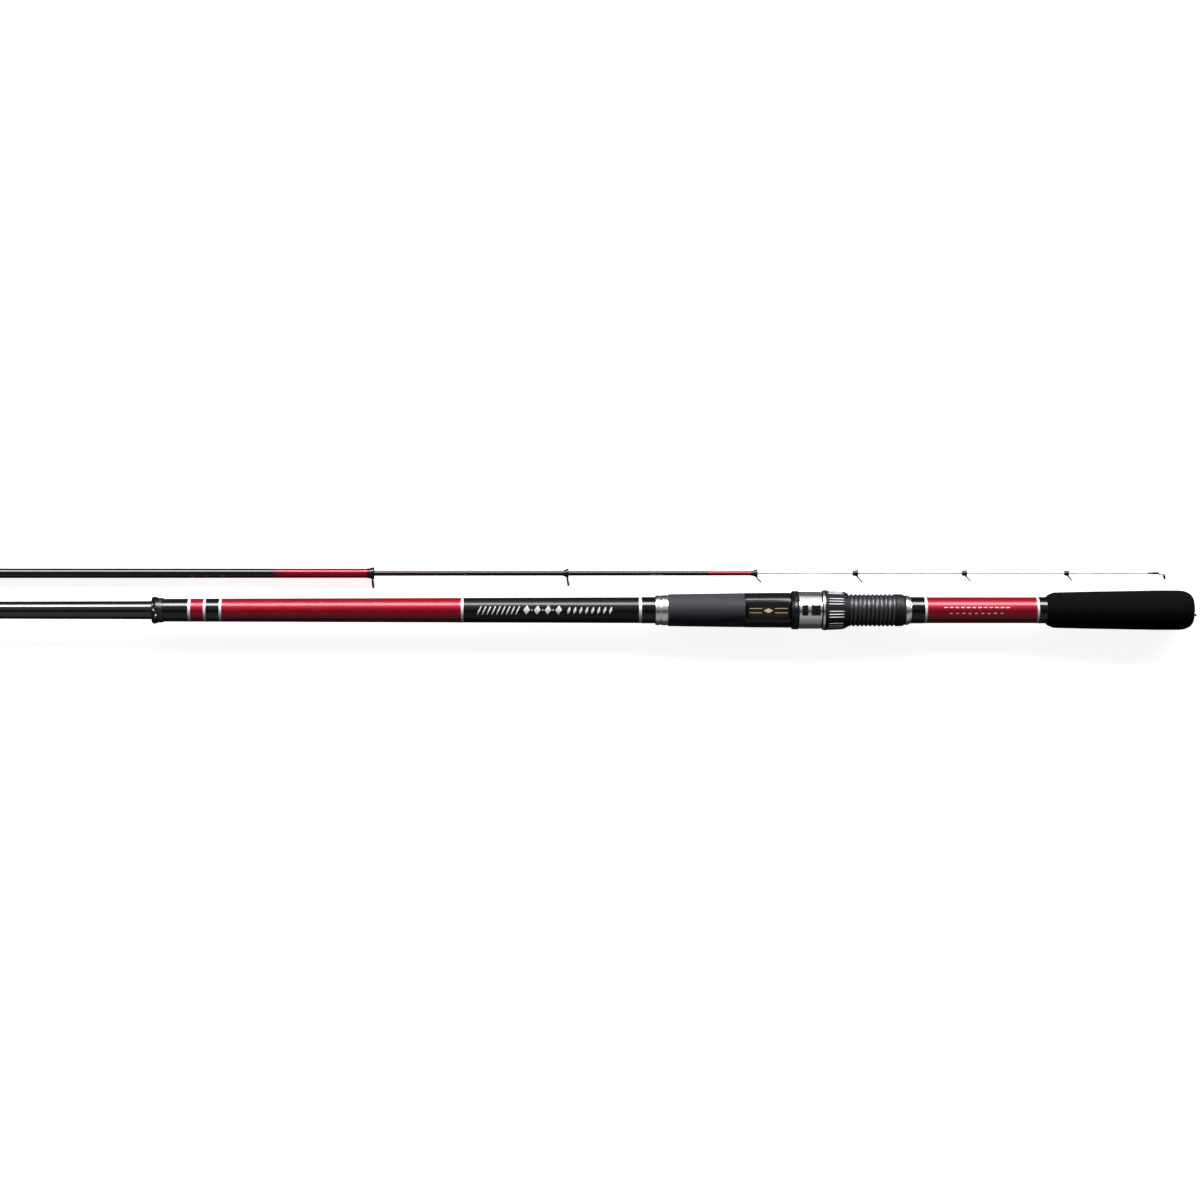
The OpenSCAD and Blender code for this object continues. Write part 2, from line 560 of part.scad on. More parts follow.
module in_tip_ring() translate([section_1_out, 0, tip_ring_drop])
    rotate([0, 90 + tip_ring_lean, 0]) children();
tip_seat = 0.5;
tip_insert_w = 1.6;
module tip_top_frame() color("#26272b") {
    difference() {
        rod(tip_end - tip_tube_len, tip_end + 0.6, tip_tube_r);
        tube(tip_end - tip_tube_len - 1, tip_end, 0, 0, tip_radius(tip_end - tip_tube_len - 1), tip_end_r);
    }
    difference() {
        union() {
            for (side = [-1, 1])
                leg([tip_end - 0.6, side * 0.7, 0.3],
                    [section_1_out - 0.3, side * (tip_ring_r - tip_seat / 2) * 0.96, tip_ring_drop], 0.34);
            leg([tip_end - 1, 0, 0.6], [section_1_out + 0.3, 0, tip_ring_drop - tip_ring_r + tip_seat], 0.34);
        }
        tube(tip_end - tip_tube_len - 1, tip_end, 0, 0, tip_radius(tip_end - tip_tube_len - 1), tip_end_r);
        in_tip_ring() cylinder(h = 8, r = tip_ring_r - tip_seat / 2, center = true);
    }
    in_tip_ring() difference() {
        cylinder(h = tip_insert_w * 0.7, r = tip_ring_r, center = true);
        cylinder(h = tip_insert_w, r = tip_ring_r - tip_seat, center = true);
    }
}
module tip_top_ring() color("#1b1c1e") in_tip_ring() ring_insert(tip_ring_r - tip_seat, 0.65, tip_insert_w);

module sliding_frame(i) color("#2b2c30") translate([sliding_at[i], 0, 0]) guide_frame(sliding_guide(i));
module sliding_ring(i) color("#1b1c1e") translate([sliding_at[i], 0, 0]) guide_ring(sliding_guide(i));

place_butt() butt_section_tube();
place_butt() butt_section_trim();
place_butt() front_wrap();
place_butt() rear_wrap();
place_butt() mouth_guide_frame();
place_butt() mouth_guide_ring();
place_butt() front_check();
place_butt() foregrip();
place_butt() fixed_hood();
place_butt() seat_bed();
place_butt() seat_plate();
place_butt() seat_barrel();
place_butt() rear_check();
place_butt() hood_cushion();
place_butt() hood_shell();
place_butt() hood_washer();
place_butt() lock_nut();
place_butt() butt_grip();
place_butt() butt_bushing();
place_butt() plug_gasket();
place_butt() butt_plug();
place_butt() plug_bumper();
place_butt() lanyard_ring();
place_butt() section_3_tube();
place_butt() section_3_wrap();
place_butt() section_3_guide_frame();
place_butt() section_3_guide_ring();
place_tip() section_2_tube();
place_tip() section_2_shoulder();
place_tip() section_2_guide_frame();
place_tip() section_2_guide_ring();
place_tip() section_1_tube();
place_tip() solid_tip();
place_tip() tip_whipping();
place_tip() tip_top_frame();
place_tip() tip_top_ring();
place_tip() sliding_frame(0);  // sliding_guide_1_frame
place_tip() sliding_ring(0);  // sliding_guide_1_ring
place_tip() sliding_frame(1);  // sliding_guide_2_frame
place_tip() sliding_ring(1);  // sliding_guide_2_ring
place_tip() sliding_frame(2);  // sliding_guide_3_frame
place_tip() sliding_ring(2);  // sliding_guide_3_ring
place_tip() sliding_frame(3);  // sliding_guide_4_frame
place_tip() sliding_ring(3);  // sliding_guide_4_ring
place_tip() sliding_frame(4);  // sliding_guide_5_frame
place_tip() sliding_ring(4);  // sliding_guide_5_ring
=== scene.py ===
# %% [markdown]
# # Telescopic rod: a lesson in looks
# The rod lies on a pale floor as two lengths. The butt length is the thick blank with its grips and
# reel seat, and the tip length is the thin blank with the sliding guides. A solid model fixes every
# size. This lesson builds the shapes and finishes that are seen, in metres, around that model.

import json
import math

import bmesh
import bpy
from mathutils import Matrix, Vector

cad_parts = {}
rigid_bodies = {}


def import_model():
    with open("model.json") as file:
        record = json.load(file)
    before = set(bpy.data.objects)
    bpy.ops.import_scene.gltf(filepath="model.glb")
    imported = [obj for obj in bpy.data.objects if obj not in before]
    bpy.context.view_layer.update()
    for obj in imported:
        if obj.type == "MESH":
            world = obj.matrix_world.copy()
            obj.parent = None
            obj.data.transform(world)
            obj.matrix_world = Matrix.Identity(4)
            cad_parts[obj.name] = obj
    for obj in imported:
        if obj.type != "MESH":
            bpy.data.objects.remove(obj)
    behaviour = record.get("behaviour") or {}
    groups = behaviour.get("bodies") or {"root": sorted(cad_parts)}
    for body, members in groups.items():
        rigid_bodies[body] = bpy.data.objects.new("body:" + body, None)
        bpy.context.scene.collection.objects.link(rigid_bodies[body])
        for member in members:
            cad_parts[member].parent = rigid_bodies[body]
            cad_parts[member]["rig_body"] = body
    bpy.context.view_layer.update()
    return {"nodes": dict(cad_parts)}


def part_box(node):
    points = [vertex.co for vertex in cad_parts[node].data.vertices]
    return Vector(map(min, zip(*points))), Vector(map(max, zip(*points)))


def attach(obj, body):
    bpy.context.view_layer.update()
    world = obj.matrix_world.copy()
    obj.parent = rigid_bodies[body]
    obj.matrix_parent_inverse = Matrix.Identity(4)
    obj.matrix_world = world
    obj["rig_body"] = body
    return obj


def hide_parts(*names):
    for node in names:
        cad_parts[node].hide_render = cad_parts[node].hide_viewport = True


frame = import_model()
MM = 0.001
print("solid parts:", len(frame["nodes"]))

# %% [markdown]
# ## Where the two lengths lie
# Both lengths run along X, so each one has a centre line that is a height and a distance from the
# origin. The boxes of two round parts give those lines, and all later pieces are placed on them.

# %% Centre lines


def centre_line(node):
    low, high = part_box(node)
    return (low + high) / 2


BUTT = centre_line("butt_grip")
TIP = centre_line("section_2_tube")
GRIP_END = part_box("butt_grip")[1].x
print("butt axis", BUTT.yz[:], "tip axis", TIP.yz[:])

# %% [markdown]
# ## Camera
# The camera looks straight down on the grips and the tip. The rest of both lengths runs out of the
# left edge. A long lens keeps the round end of the grip from hiding the lanyard ring behind it, and
# the small sideways shift keeps the lens near the middle of the rod. The width of the view is
# measured just above the centre line, where the tops of the grips are.

# %% Camera over the grips
VIEW_WIDTH = 1.128
SHIFT = 0.05
camera = bpy.data.objects.new("camera", bpy.data.cameras.new("camera"))
camera.data.lens = 85
camera.data.sensor_width = 36
camera.data.shift_x = SHIFT
camera_height = VIEW_WIDTH * camera.data.lens / camera.data.sensor_width
FOCUS_RISE = 0.004
RIGHT_MARGIN, MIDDLE_SHIFT = 0.0062, 0.0096
camera_x = GRIP_END + RIGHT_MARGIN - VIEW_WIDTH / 2 - SHIFT * VIEW_WIDTH
camera.location = (camera_x, BUTT.y + MIDDLE_SHIFT, BUTT.z + FOCUS_RISE + camera_height)
bpy.context.scene.collection.objects.link(camera)
bpy.context.scene.camera = camera
print("camera at", camera.location[:])

# %% [markdown]
# ## Light
# A glossy tube seen from above mirrors the whole sky as thin stripes, so the sky is drawn as a
# function of one angle, from straight up towards each side. It is bright above and behind, has a
# dark gap just past the top, and is grey in front. Matt surfaces get a small share of it, so that
# black stays black beside the bright reflections. The camera itself sees plain white.

# %% Helper: a node with its inputs filled


def add_node(tree, kind, **inputs):
    """A new node. A socket is linked to the named input, and anything else is its fixed value."""
    node = tree.nodes.new(kind)
    for label, source in inputs.items():
        socket = node.inputs[label.replace("_", " ")]
        if isinstance(source, bpy.types.NodeSocket):
            tree.links.new(source, socket)
        else:
            socket.default_value = source
    return node


# %% Sky by angle
world = bpy.data.worlds.new("studio")
bpy.context.scene.world = world
world.use_nodes = True
sky = world.node_tree
sky.nodes.clear()
sky_way = sky.nodes.new("ShaderNodeTexCoord").outputs["Generated"]
sky_split = add_node(sky, "ShaderNodeSeparateXYZ", Vector=sky_way)
sky_angle = sky.nodes.new("ShaderNodeMath")
sky_angle.operation = "ARCTAN2"
sky.links.new(sky_split.outputs["Y"], sky_angle.inputs[0])
sky.links.new(sky_split.outputs["Z"], sky_angle.inputs[1])
sky_share = add_node(sky, "ShaderNodeMapRange", Value=sky_angle.outputs[0], From_Min=-math.pi, From_Max=math.pi)
sky_ramp = add_node(sky, "ShaderNodeValToRGB", Fac=sky_share.outputs[0])
SKY = [(-180, 0.03), (-110, 0.05), (-75, 0.3), (-40, 0.34), (-24, 0.2), (-17, 0.02),
       (-4, 0.02), (5, 0.22), (32, 0.3), (44, 0.8), (84, 0.8), (100, 0.06)]
DIFFUSE_SKY, GLOSSY_SKY = 0.14, 1.0
for i, (degrees, brightness) in enumerate(SKY):
    elements = sky_ramp.color_ramp.elements
    stop = elements[i] if i < 2 else elements.new(1)
    stop.position = (degrees + 180) / 360
    stop.color = (brightness * 0.97, brightness * 0.985, brightness, 1)
sky_path = sky.nodes.new("ShaderNodeLightPath")
sky_strength = add_node(sky, "ShaderNodeMapRange", Value=sky_path.outputs["Is Glossy Ray"],
                        To_Min=DIFFUSE_SKY, To_Max=GLOSSY_SKY)
sky_light = add_node(sky, "ShaderNodeBackground", Color=sky_ramp.outputs[0], Strength=sky_strength.outputs[0])
SEEN_SKY = 1.05
sky_seen = add_node(sky, "ShaderNodeBackground", Strength=SEEN_SKY)
sky_mix = add_node(sky, "ShaderNodeMixShader", Fac=sky_path.outputs["Is Camera Ray"])
sky.links.new(sky_light.outputs[0], sky_mix.inputs[1])
sky.links.new(sky_seen.outputs[0], sky_mix.inputs[2])
add_node(sky, "ShaderNodeOutputWorld", Surface=sky_mix.outputs[0])
bpy.context.scene.view_settings.view_transform = "Standard"
print("sky stops:", len(SKY))

# %% [markdown]
# ## Lamps
# A long strip lamp behind the rod is seen only in glossy surfaces. It draws the bright line along
# the lacquer. A broad soft lamp on the same side lights the matt grips.

# %% Strip lamp and soft lamp


def lamp(name, angle, distance, length, width, watts):
    data = bpy.data.lights.new(name, "AREA")
    data.shape = "RECTANGLE"
    data.size, data.size_y = length, width
    data.energy = watts
    lit = bpy.data.objects.new(name, data)
    away = Vector((0, math.sin(angle), math.cos(angle)))
    lit.location = Vector((camera_x, 0, 0)) + away * distance
    lit.rotation_euler = (-angle, 0, 0)
    bpy.context.scene.collection.objects.link(lit)
    return lit


strip_lamp = lamp("strip_lamp", math.radians(60), 1.5, 5.0, 0.6, 170)
strip_lamp.visible_diffuse = False
soft_lamp = lamp("soft_lamp", math.radians(62), 1.6, 5.0, 0.9, 76)
soft_lamp.visible_glossy = False
for lit in (strip_lamp, soft_lamp):
    lit.visible_camera = False
    lit.data.color = (0.96, 0.98, 1)
print("lamps:", strip_lamp.name, soft_lamp.name)

# %% [markdown]
# ## Floor
# The floor is a large pale sheet. The camera sees it almost white with a faint shadow, and the rod
# sees it dark, which keeps the lower edges of the tubes crisp.

# %% Pale floor
floor_mesh = bpy.data.meshes.new("floor")
FLOOR = 12
floor_corners = [(-FLOOR, -FLOOR, 0), (FLOOR, -FLOOR, 0), (FLOOR, FLOOR, 0), (-FLOOR, FLOOR, 0)]
floor_mesh.from_pydata(floor_corners, [], [(0, 1, 2, 3)])
floor = bpy.data.objects.new("floor", floor_mesh)
FLOOR_DROP = 0.0003
floor.location.z = -FLOOR_DROP
bpy.context.scene.collection.objects.link(floor)
floor_paint = bpy.data.materials.new("floor_paper")
floor_paint.use_nodes = True
floor_nodes, floor_links = floor_paint.node_tree.nodes, floor_paint.node_tree.links
paper = floor_nodes["Principled BSDF"]
paper.inputs["Base Color"].default_value = (0.8, 0.8, 0.8, 1)
paper.inputs["Roughness"].default_value = 0.9
paper.inputs["Specular IOR Level"].default_value = 0
paper.inputs["Emission Color"].default_value = (1, 1, 1, 1)
floor_path = floor_nodes.new("ShaderNodeLightPath")
paper.inputs["Emission Strength"].default_value = 0.9
dim = floor_nodes.new("ShaderNodeEmission")
dim.inputs["Color"].default_value = (0.04, 0.04, 0.04, 1)
floor_mix = floor_nodes.new("ShaderNodeMixShader")
floor_links.new(floor_path.outputs["Is Camera Ray"], floor_mix.inputs[0])
floor_links.new(dim.outputs[0], floor_mix.inputs[1])
floor_links.new(paper.outputs[0], floor_mix.inputs[2])
floor_links.new(floor_mix.outputs[0], floor_nodes["Material Output"].inputs["Surface"])
floor_mesh.materials.append(floor_paint)
print("floor is", 2 * FLOOR, "m wide")

# %% [markdown]
# ## Effects that several finishes share
# A shader node group is a small machine with named inputs and outputs. It is built once and placed
# in each finish with other values. All of them read Object coordinates, so a pattern stays at its
# real size in metres and moves with its piece.

# %% Helper: start a shader group


def shader_group(name, inputs, outputs):
    tree = bpy.data.node_groups.new(name, "ShaderNodeTree")
    for label, value in inputs:
        socket = tree.interface.new_socket(label, in_out="INPUT", socket_type="NodeSocketFloat")
        socket.default_value = value
    for label in outputs:
        tree.interface.new_socket(label, in_out="OUTPUT", socket_type="NodeSocketFloat")
    return tree, tree.nodes.new("NodeGroupInput"), tree.nodes.new("NodeGroupOutput")


def object_axis(tree, axis):
    """One coordinate of the piece's own space, in metres."""
    place = tree.nodes.new("ShaderNodeTexCoord").outputs["Object"]
    return add_node(tree, "ShaderNodeSeparateXYZ", Vector=place).outputs[axis]


def math_node(tree, operation, first, second=None, third=None):
    node = tree.nodes.new("ShaderNodeMath")
    node.operation = operation
    for i, source in enumerate((first, second, third)):
        if isinstance(source, (int, float)):
            node.inputs[i].default_value = source
        elif source is not None:
            tree.links.new(source, node.inputs[i])
    return node.outputs[0]


# %% [markdown]
# ### Zones along the blank
# The lacquer changes colour along the blank, where thin silver rings cover the joins. A mask is 1
# between two places along X and 0 outside, with a soft or a hard end.

# %% Zone mask
zone_mask, zone_in, zone_out = shader_group(
    "zone_mask", [("From", 0), ("To", 1), ("Fade", 0.0001)], ["Mask"])
zone_x = object_axis(zone_mask, "X")
past_start = math_node(zone_mask, "SUBTRACT", zone_x, zone_in.outputs["From"])
before_end = math_node(zone_mask, "SUBTRACT", zone_in.outputs["To"], zone_x)
zone_rise, zone_fall = (
    math_node(zone_mask, "DIVIDE", length, zone_in.outputs["Fade"]) for length in (past_start, before_end))
zone_both = add_node(zone_mask, "ShaderNodeClamp", Value=math_node(zone_mask, "MINIMUM", zone_rise, zone_fall))
zone_mask.links.new(zone_both.outputs[0], zone_out.inputs["Mask"])
print(zone_mask.name, "is ready")

# %% [markdown]
# ### Fine wear
# Handling leaves cloudy patches and hair scratches along the rod. One noise at its real size makes
# the patches, and a second one, stretched along X, makes the scratches.

# %% Fine wear
fine_wear, wear_in, wear_out = shader_group(
    "fine_wear", [("Patch Scale", 90), ("Roughness", 0.3), ("Spread", 0.1)], ["Roughness", "Height"])
HAIR_SCALE = (30, 900, 900)
wear_place = fine_wear.nodes.new("ShaderNodeTexCoord").outputs["Object"]
wear_patch = add_node(fine_wear, "ShaderNodeTexNoise", Vector=wear_place, Scale=wear_in.outputs["Patch Scale"],
                      Detail=4)
wear_stretch = add_node(fine_wear, "ShaderNodeMapping", Vector=wear_place, Scale=HAIR_SCALE)
wear_hair = add_node(fine_wear, "ShaderNodeTexNoise", Vector=wear_stretch.outputs[0], Scale=1)
HAIR_SHARE, MEAN_WEAR = 0.5, 0.75
wear_sum = math_node(fine_wear, "MULTIPLY_ADD", wear_hair.outputs["Fac"], HAIR_SHARE, wear_patch.outputs["Fac"])
wear_centred = math_node(fine_wear, "SUBTRACT", wear_sum, MEAN_WEAR)
fine_wear.links.new(math_node(fine_wear, "MULTIPLY_ADD", wear_centred, wear_in.outputs["Spread"],
                              wear_in.outputs["Roughness"]), wear_out.inputs["Roughness"])
fine_wear.links.new(wear_hair.outputs["Fac"], wear_out.inputs["Height"])
print(fine_wear.name, "is ready")

# %% [markdown]
# ### Grain
# Foam, rubber and metallic lacquer are all made of small cells. Voronoi cells give each one its own
# brightness for a glint, and the distance to the nearest centre gives its bump.

# %% Cell grain
cell_grain, grain_in, grain_out = shader_group("cell_grain", [("Cell Size", 0.0006)], ["Glint", "Height"])
grain_place = cell_grain.nodes.new("ShaderNodeTexCoord").outputs["Object"]
grain_scale = math_node(cell_grain, "DIVIDE", 1, grain_in.outputs["Cell Size"])
grain_cells = add_node(cell_grain, "ShaderNodeTexVoronoi", Vector=grain_place, Scale=grain_scale)
grain_split = add_node(cell_grain, "ShaderNodeSeparateColor", Color=grain_cells.outputs["Color"])
cell_grain.links.new(grain_split.outputs[0], grain_out.inputs["Glint"])
cell_grain.links.new(grain_cells.outputs["Distance"], grain_out.inputs["Height"])
print(cell_grain.name, "is ready")

# %% [markdown]
# ### Thread windings
# The guides and the grips are bound with fine thread under the lacquer. A wave along X gives one
# ridge for each turn.

# %% Thread ridges
thread_ridges, ridge_in, ridge_out = shader_group("thread_ridges", [("Pitch", 0.0004)], ["Height"])
ridge_x = object_axis(thread_ridges, "X")
ridge_turns = math_node(thread_ridges, "DIVIDE", ridge_x, ridge_in.outputs["Pitch"])
ridge_wave = math_node(thread_ridges, "SINE", math_node(thread_ridges, "MULTIPLY", ridge_turns, math.tau))
thread_ridges.links.new(ridge_wave, ridge_out.inputs["Height"])
print(thread_ridges.name, "is ready")

# %% [markdown]
# ## Finishes
# Each finish is a Principled shader. Numbers that are the same all over sit on the shader, and the
# groups drive only roughness, colour and bump. A clear coat over a coloured base is what real rod
# lacquer is, so the gloss comes from the coat and the colour from below it.

# %% Helper: a finish with wear


def shader_of(paint):
    return paint.node_tree.nodes["Principled BSDF"]


def finish(name, colour, roughness, spread=0.08, metallic=0.0, coat=0.0, bump=0.00001, **other):
    paint = bpy.data.materials.new(name)
    paint.use_nodes = True
    tree, shader = paint.node_tree, shader_of(paint)
    shader.inputs["Base Color"].default_value = (*colour, 1)
    shader.inputs["Metallic"].default_value = metallic
    shader.inputs["Coat Weight"].default_value = coat
    for label, value in other.items():
        shader.inputs[label.replace("_", " ")].default_value = value
    wear = place_group(tree, fine_wear, Roughness=roughness, Spread=spread)
    tree.links.new(wear.outputs["Roughness"], shader.inputs["Roughness"])
    add_bump(paint, wear.outputs["Height"], bump)
    return paint


def place_group(tree, group, **values):
    node = tree.nodes.new("ShaderNodeGroup")
    node.node_tree = group
    for label, value in values.items():
        node.inputs[label.replace("_", " ")].default_value = value
    return node


def add_bump(paint, height, distance):
    tree = paint.node_tree
    normal = shader_of(paint).inputs["Normal"]
    bump = add_node(tree, "ShaderNodeBump", Distance=distance, Height=height)
    if normal.is_linked:
        tree.links.new(normal.links[0].from_socket, bump.inputs["Normal"])
    tree.links.new(bump.outputs[0], normal)


def add_grain(paint, cell, distance):
    grain = place_group(paint.node_tree, cell_grain, Cell_Size=cell)
    add_bump(paint, grain.outputs["Height"], distance)
    return grain


# %% [markdown]
# ### Lacquer with zones
# The blanks are red where the light should catch them and black elsewhere. Small metal flakes under
# the clear coat lighten single cells of the red.

# %% Helper: lacquer with coloured zones
RED = (0.3, 0.003, 0.014)
BLACK = (0.003, 0.003, 0.004)
BLACK_ROUGHNESS, RED_COAT = 0.3, 0.5
FLAKE, GLINT_SHARE = 0.00045, 0.2
NOWHERE, EVERYWHERE = (-9.0, -8.9, 0.01), (-9.0, 9.0, 0.01)


def mix_colour(tree, mask, below, above):
    mix = tree.nodes.new("ShaderNodeMix")
    mix.data_type = "RGBA"
    tree.links.new(mask, mix.inputs["Factor"])
    for socket, source in ((mix.inputs[6], below), (mix.inputs[7], above)):
        if isinstance(source, tuple):
            socket.default_value = (*source, 1)
        else:
            tree.links.new(source, socket)
    return mix.outputs[2]


def add_to_input(paint, label, mask, amount):
    """Adds the mask times an amount to what already feeds one input of the shader."""
    socket = shader_of(paint).inputs[label]
    before = socket.links[0].from_socket
    paint.node_tree.links.new(math_node(paint.node_tree, "MULTIPLY_ADD", mask, amount, before), socket)


def zoned_lacquer(name, zones, red=RED, black=BLACK, red_metallic=0.35, red_roughness=0.42):
    """Black lacquer with red zones, each a (from, to, fade) along X in metres."""
    paint = finish(name, black, BLACK_ROUGHNESS, 0.03, coat=1.0, bump=0.000001, Coat_Roughness=0.09,
                   Specular_IOR_Level=0.1)
    tree, shader = paint.node_tree, shader_of(paint)
    mask = None
    for start, end, fade in zones:
        zone = place_group(tree, zone_mask, From=start, To=end, Fade=fade).outputs["Mask"]
        mask = zone if mask is None else math_node(tree, "MAXIMUM", mask, zone)
    grain = place_group(tree, cell_grain, Cell_Size=FLAKE)
    glint = math_node(tree, "MULTIPLY", grain.outputs["Glint"], GLINT_SHARE)
    flaked = mix_colour(tree, glint, red, tuple(min(1, c * 1.9 + 0.01) for c in red))
    tree.links.new(mix_colour(tree, mask, black, flaked), shader.inputs["Base Color"])
    tree.links.new(math_node(tree, "MULTIPLY", mask, red_metallic), shader.inputs["Metallic"])
    tree.links.new(math_node(tree, "MULTIPLY_ADD", mask, RED_COAT - 1, 1.0), shader.inputs["Coat Weight"])
    add_to_input(paint, "Roughness", mask, red_roughness - BLACK_ROUGHNESS)
    return paint


# %% [markdown]
# ## Shapes read from the solid model
# Most parts of a rod are turned: a flat outline swept round a line. The solid model's mesh still
# holds that outline, as pairs of place along the line and radius. Reading it back and sweeping it
# again with 128 sides gives a smooth tube of exactly the same size, with small rounds on its corners.

# %% Helper: outlines of a turned part


def outlines(node, centre, tolerance=2e-5):
    """Lists of (x, radius), one for each ring or tube in the part."""
    mesh = frame["nodes"][node].data
    stations, station_of = [], []
    for vertex in mesh.vertices:
        x, radius = vertex.co.x, math.hypot(vertex.co.y - centre.y, vertex.co.z - centre.z)
        near = [k for k, (at, r) in enumerate(stations) if max(abs(at - x), abs(r - radius)) < tolerance]
        if not near:
            stations.append((x, radius))
        station_of.append(near[0] if near else len(stations) - 1)
    beside = {k: set() for k in range(len(stations))}
    for edge in mesh.edges:
        a, b = (station_of[v] for v in edge.vertices)
        if a != b:
            beside[a].add(b)
            beside[b].add(a)
    found, left = [], set(beside)
    while left:
        ends = [k for k in left if len(beside[k]) == 1]
        step = min(ends or left, key=lambda k: stations[k])
        line = []
        while step is not None:
            line.append(stations[step])
            left.discard(step)
            step = next((k for k in sorted(beside[step]) if k in left), None)
        if ends:
            line = [(line[0][0], 0.0), *line, (line[-1][0], 0.0)]
        found.append(line)
    return sorted(found)


# %% Helper: drop points on straight lines and round the corners


def rounded(line, bevel):
    corners = []
    for i, here in enumerate(line):
        before, after = Vector(line[i - 1]), Vector(line[(i + 1) % len(line)])
        here = Vector(here)
        if here.y == 0:
            corners.append(here)
        elif abs((here - before).normalized().cross((after - here).normalized())) > 0.002:
            corners.append(here)
    curved = []
    for i, here in enumerate(corners):
        before, after = corners[i - 1], corners[(i + 1) % len(corners)]
        if here.y == 0 or (here - before).angle(after - here, 0) < math.radians(25):
            curved.append(here)
            continue
        near = min(bevel, 0.4 * (here - before).length, 0.4 * (after - here).length)
        start = here + (before - here).normalized() * near
        end = here + (after - here).normalized() * near
        for t in (0, 0.33, 0.67, 1):
            curved.append((1 - t) ** 2 * start + 2 * t * (1 - t) * here + t * t * end)
    return [tuple(p) for p in curved]


# %% Helper: sweep outlines round a centre line


def new_piece(name, mesh):
    piece = bpy.data.objects.new(name, mesh)
    bpy.context.scene.collection.objects.link(piece)
    return piece


def smooth_out(mesh, angle=32):
    made = bmesh.new()
    made.from_mesh(mesh)
    bmesh.ops.remove_doubles(made, verts=made.verts, dist=2e-6)
    bmesh.ops.recalc_face_normals(made, faces=made.faces)
    made.to_mesh(mesh)
    made.free()
    mesh.shade_smooth()
    mesh.set_sharp_from_angle(angle=math.radians(angle))


def lathe(name, lines, centre, sides=128):
    points, faces = [], []
    for line in lines:
        rings = []
        for x, radius in line:
            count = 1 if radius < 1e-7 else sides
            rings.append([len(points) + k for k in range(count)])
            for k in range(count):
                turn = math.tau * k / sides
                points.append((x, centre.y + radius * math.cos(turn), centre.z + radius * math.sin(turn)))
        for a, b in zip(rings, rings[1:] + rings[:1]):
            if len(a) == 1 and len(b) == 1:
                continue
            for k in range(sides):
                face = (a[k % len(a)], a[(k + 1) % len(a)], b[(k + 1) % len(b)], b[k % len(b)])
                faces.append(tuple(dict.fromkeys(face)))
    mesh = bpy.data.meshes.new(name)
    mesh.from_pydata(points, [], faces)
    smooth_out(mesh)
    return new_piece(name, mesh)


# %% [markdown]
# ## Handing a piece over
# Each finished piece gets its finish, rides on the body of the part that it stands for, and hides
# that part. One helper does all of that, so that no piece is forgotten.

# %% Helper: finish a piece


def hand_over(piece, paint, slot, *nodes, body=None):
    piece.data.materials.clear()
    piece.data.materials.append(paint)
    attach(piece, body or frame["nodes"][nodes[0]]["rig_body"])
    if nodes:
        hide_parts(*nodes)
    print(f"{piece.name}: {len(piece.data.polygons)} faces")
    return piece


def turned_copy(node, centre, paint, slot, bevel=0.15, sides=128):
    lines = [rounded(line, bevel * MM) for line in outlines(node, centre)]
    return hand_over(lathe("round_" + node, lines, centre, sides), paint, slot, node)


# %% [markdown]
# ## Silver rings and the zones between them
# Seven thin foil rings are laid on the butt blank. They are also the borders of the colours, so
# their places are read first. The widest black zone, between the fourth and the fifth ring, is satin.

# %% Foil rings
foil = finish("foil", (0.95, 0.95, 0.96), 0.42, 0.14, metallic=0.2, coat=0.6)
turned_copy("butt_section_trim", BUTT, foil, "silver_foil", 0.05)
ring_lines = outlines("butt_section_trim", BUTT)
ring_spans = [(min(p[0] for p in line), max(p[0] for p in line)) for line in ring_lines]
print("rings at", [round(span[0], 4) for span in ring_spans])

# %% [markdown]
# ## Butt blank
# The thick blank is a tapered tube. Its red zones lie between rings 1 and 2, 3 and 4, and 6 and 7.

# %% Butt blank
red_zones = [(ring_spans[i][0], ring_spans[i + 1][1], 0.00005) for i in (0, 2, 5)]
butt_paint = zoned_lacquer("butt_lacquer", red_zones)
satin_span = place_group(butt_paint.node_tree, zone_mask, From=ring_spans[3][0], To=ring_spans[4][1])
add_to_input(butt_paint, "Roughness", satin_span.outputs["Mask"], 0.16)
add_to_input(butt_paint, "Coat Weight", satin_span.outputs["Mask"], -0.6)
turned_copy("butt_section_tube", BUTT, butt_paint, "red_lacquer", 0.3)

# %% [markdown]
# ## Windings at the checks
# Black thread is wound on the blank beside each metal check and sealed with lacquer. The ridges are
# too fine to model, so they are a bump under the gloss.

# %% Sealed windings
sealed_thread = finish("sealed_thread", BLACK, 0.24, coat=0.8, Coat_Roughness=0.05, Specular_IOR_Level=0.1)
ridges = place_group(sealed_thread.node_tree, thread_ridges, Pitch=0.00045)
add_bump(sealed_thread, ridges.outputs["Height"], 0.000006)
for wrap in ("front_wrap", "rear_wrap"):
    turned_copy(wrap, BUTT, sealed_thread, "black_lacquer", 0.1)

# %% [markdown]
# ## The three inner sections
# Section 3 is gloss black with a short red band at its mouth. Section 2 turns red towards its own
# mouth with a soft fade, and section 1 is red only before its solid tip.

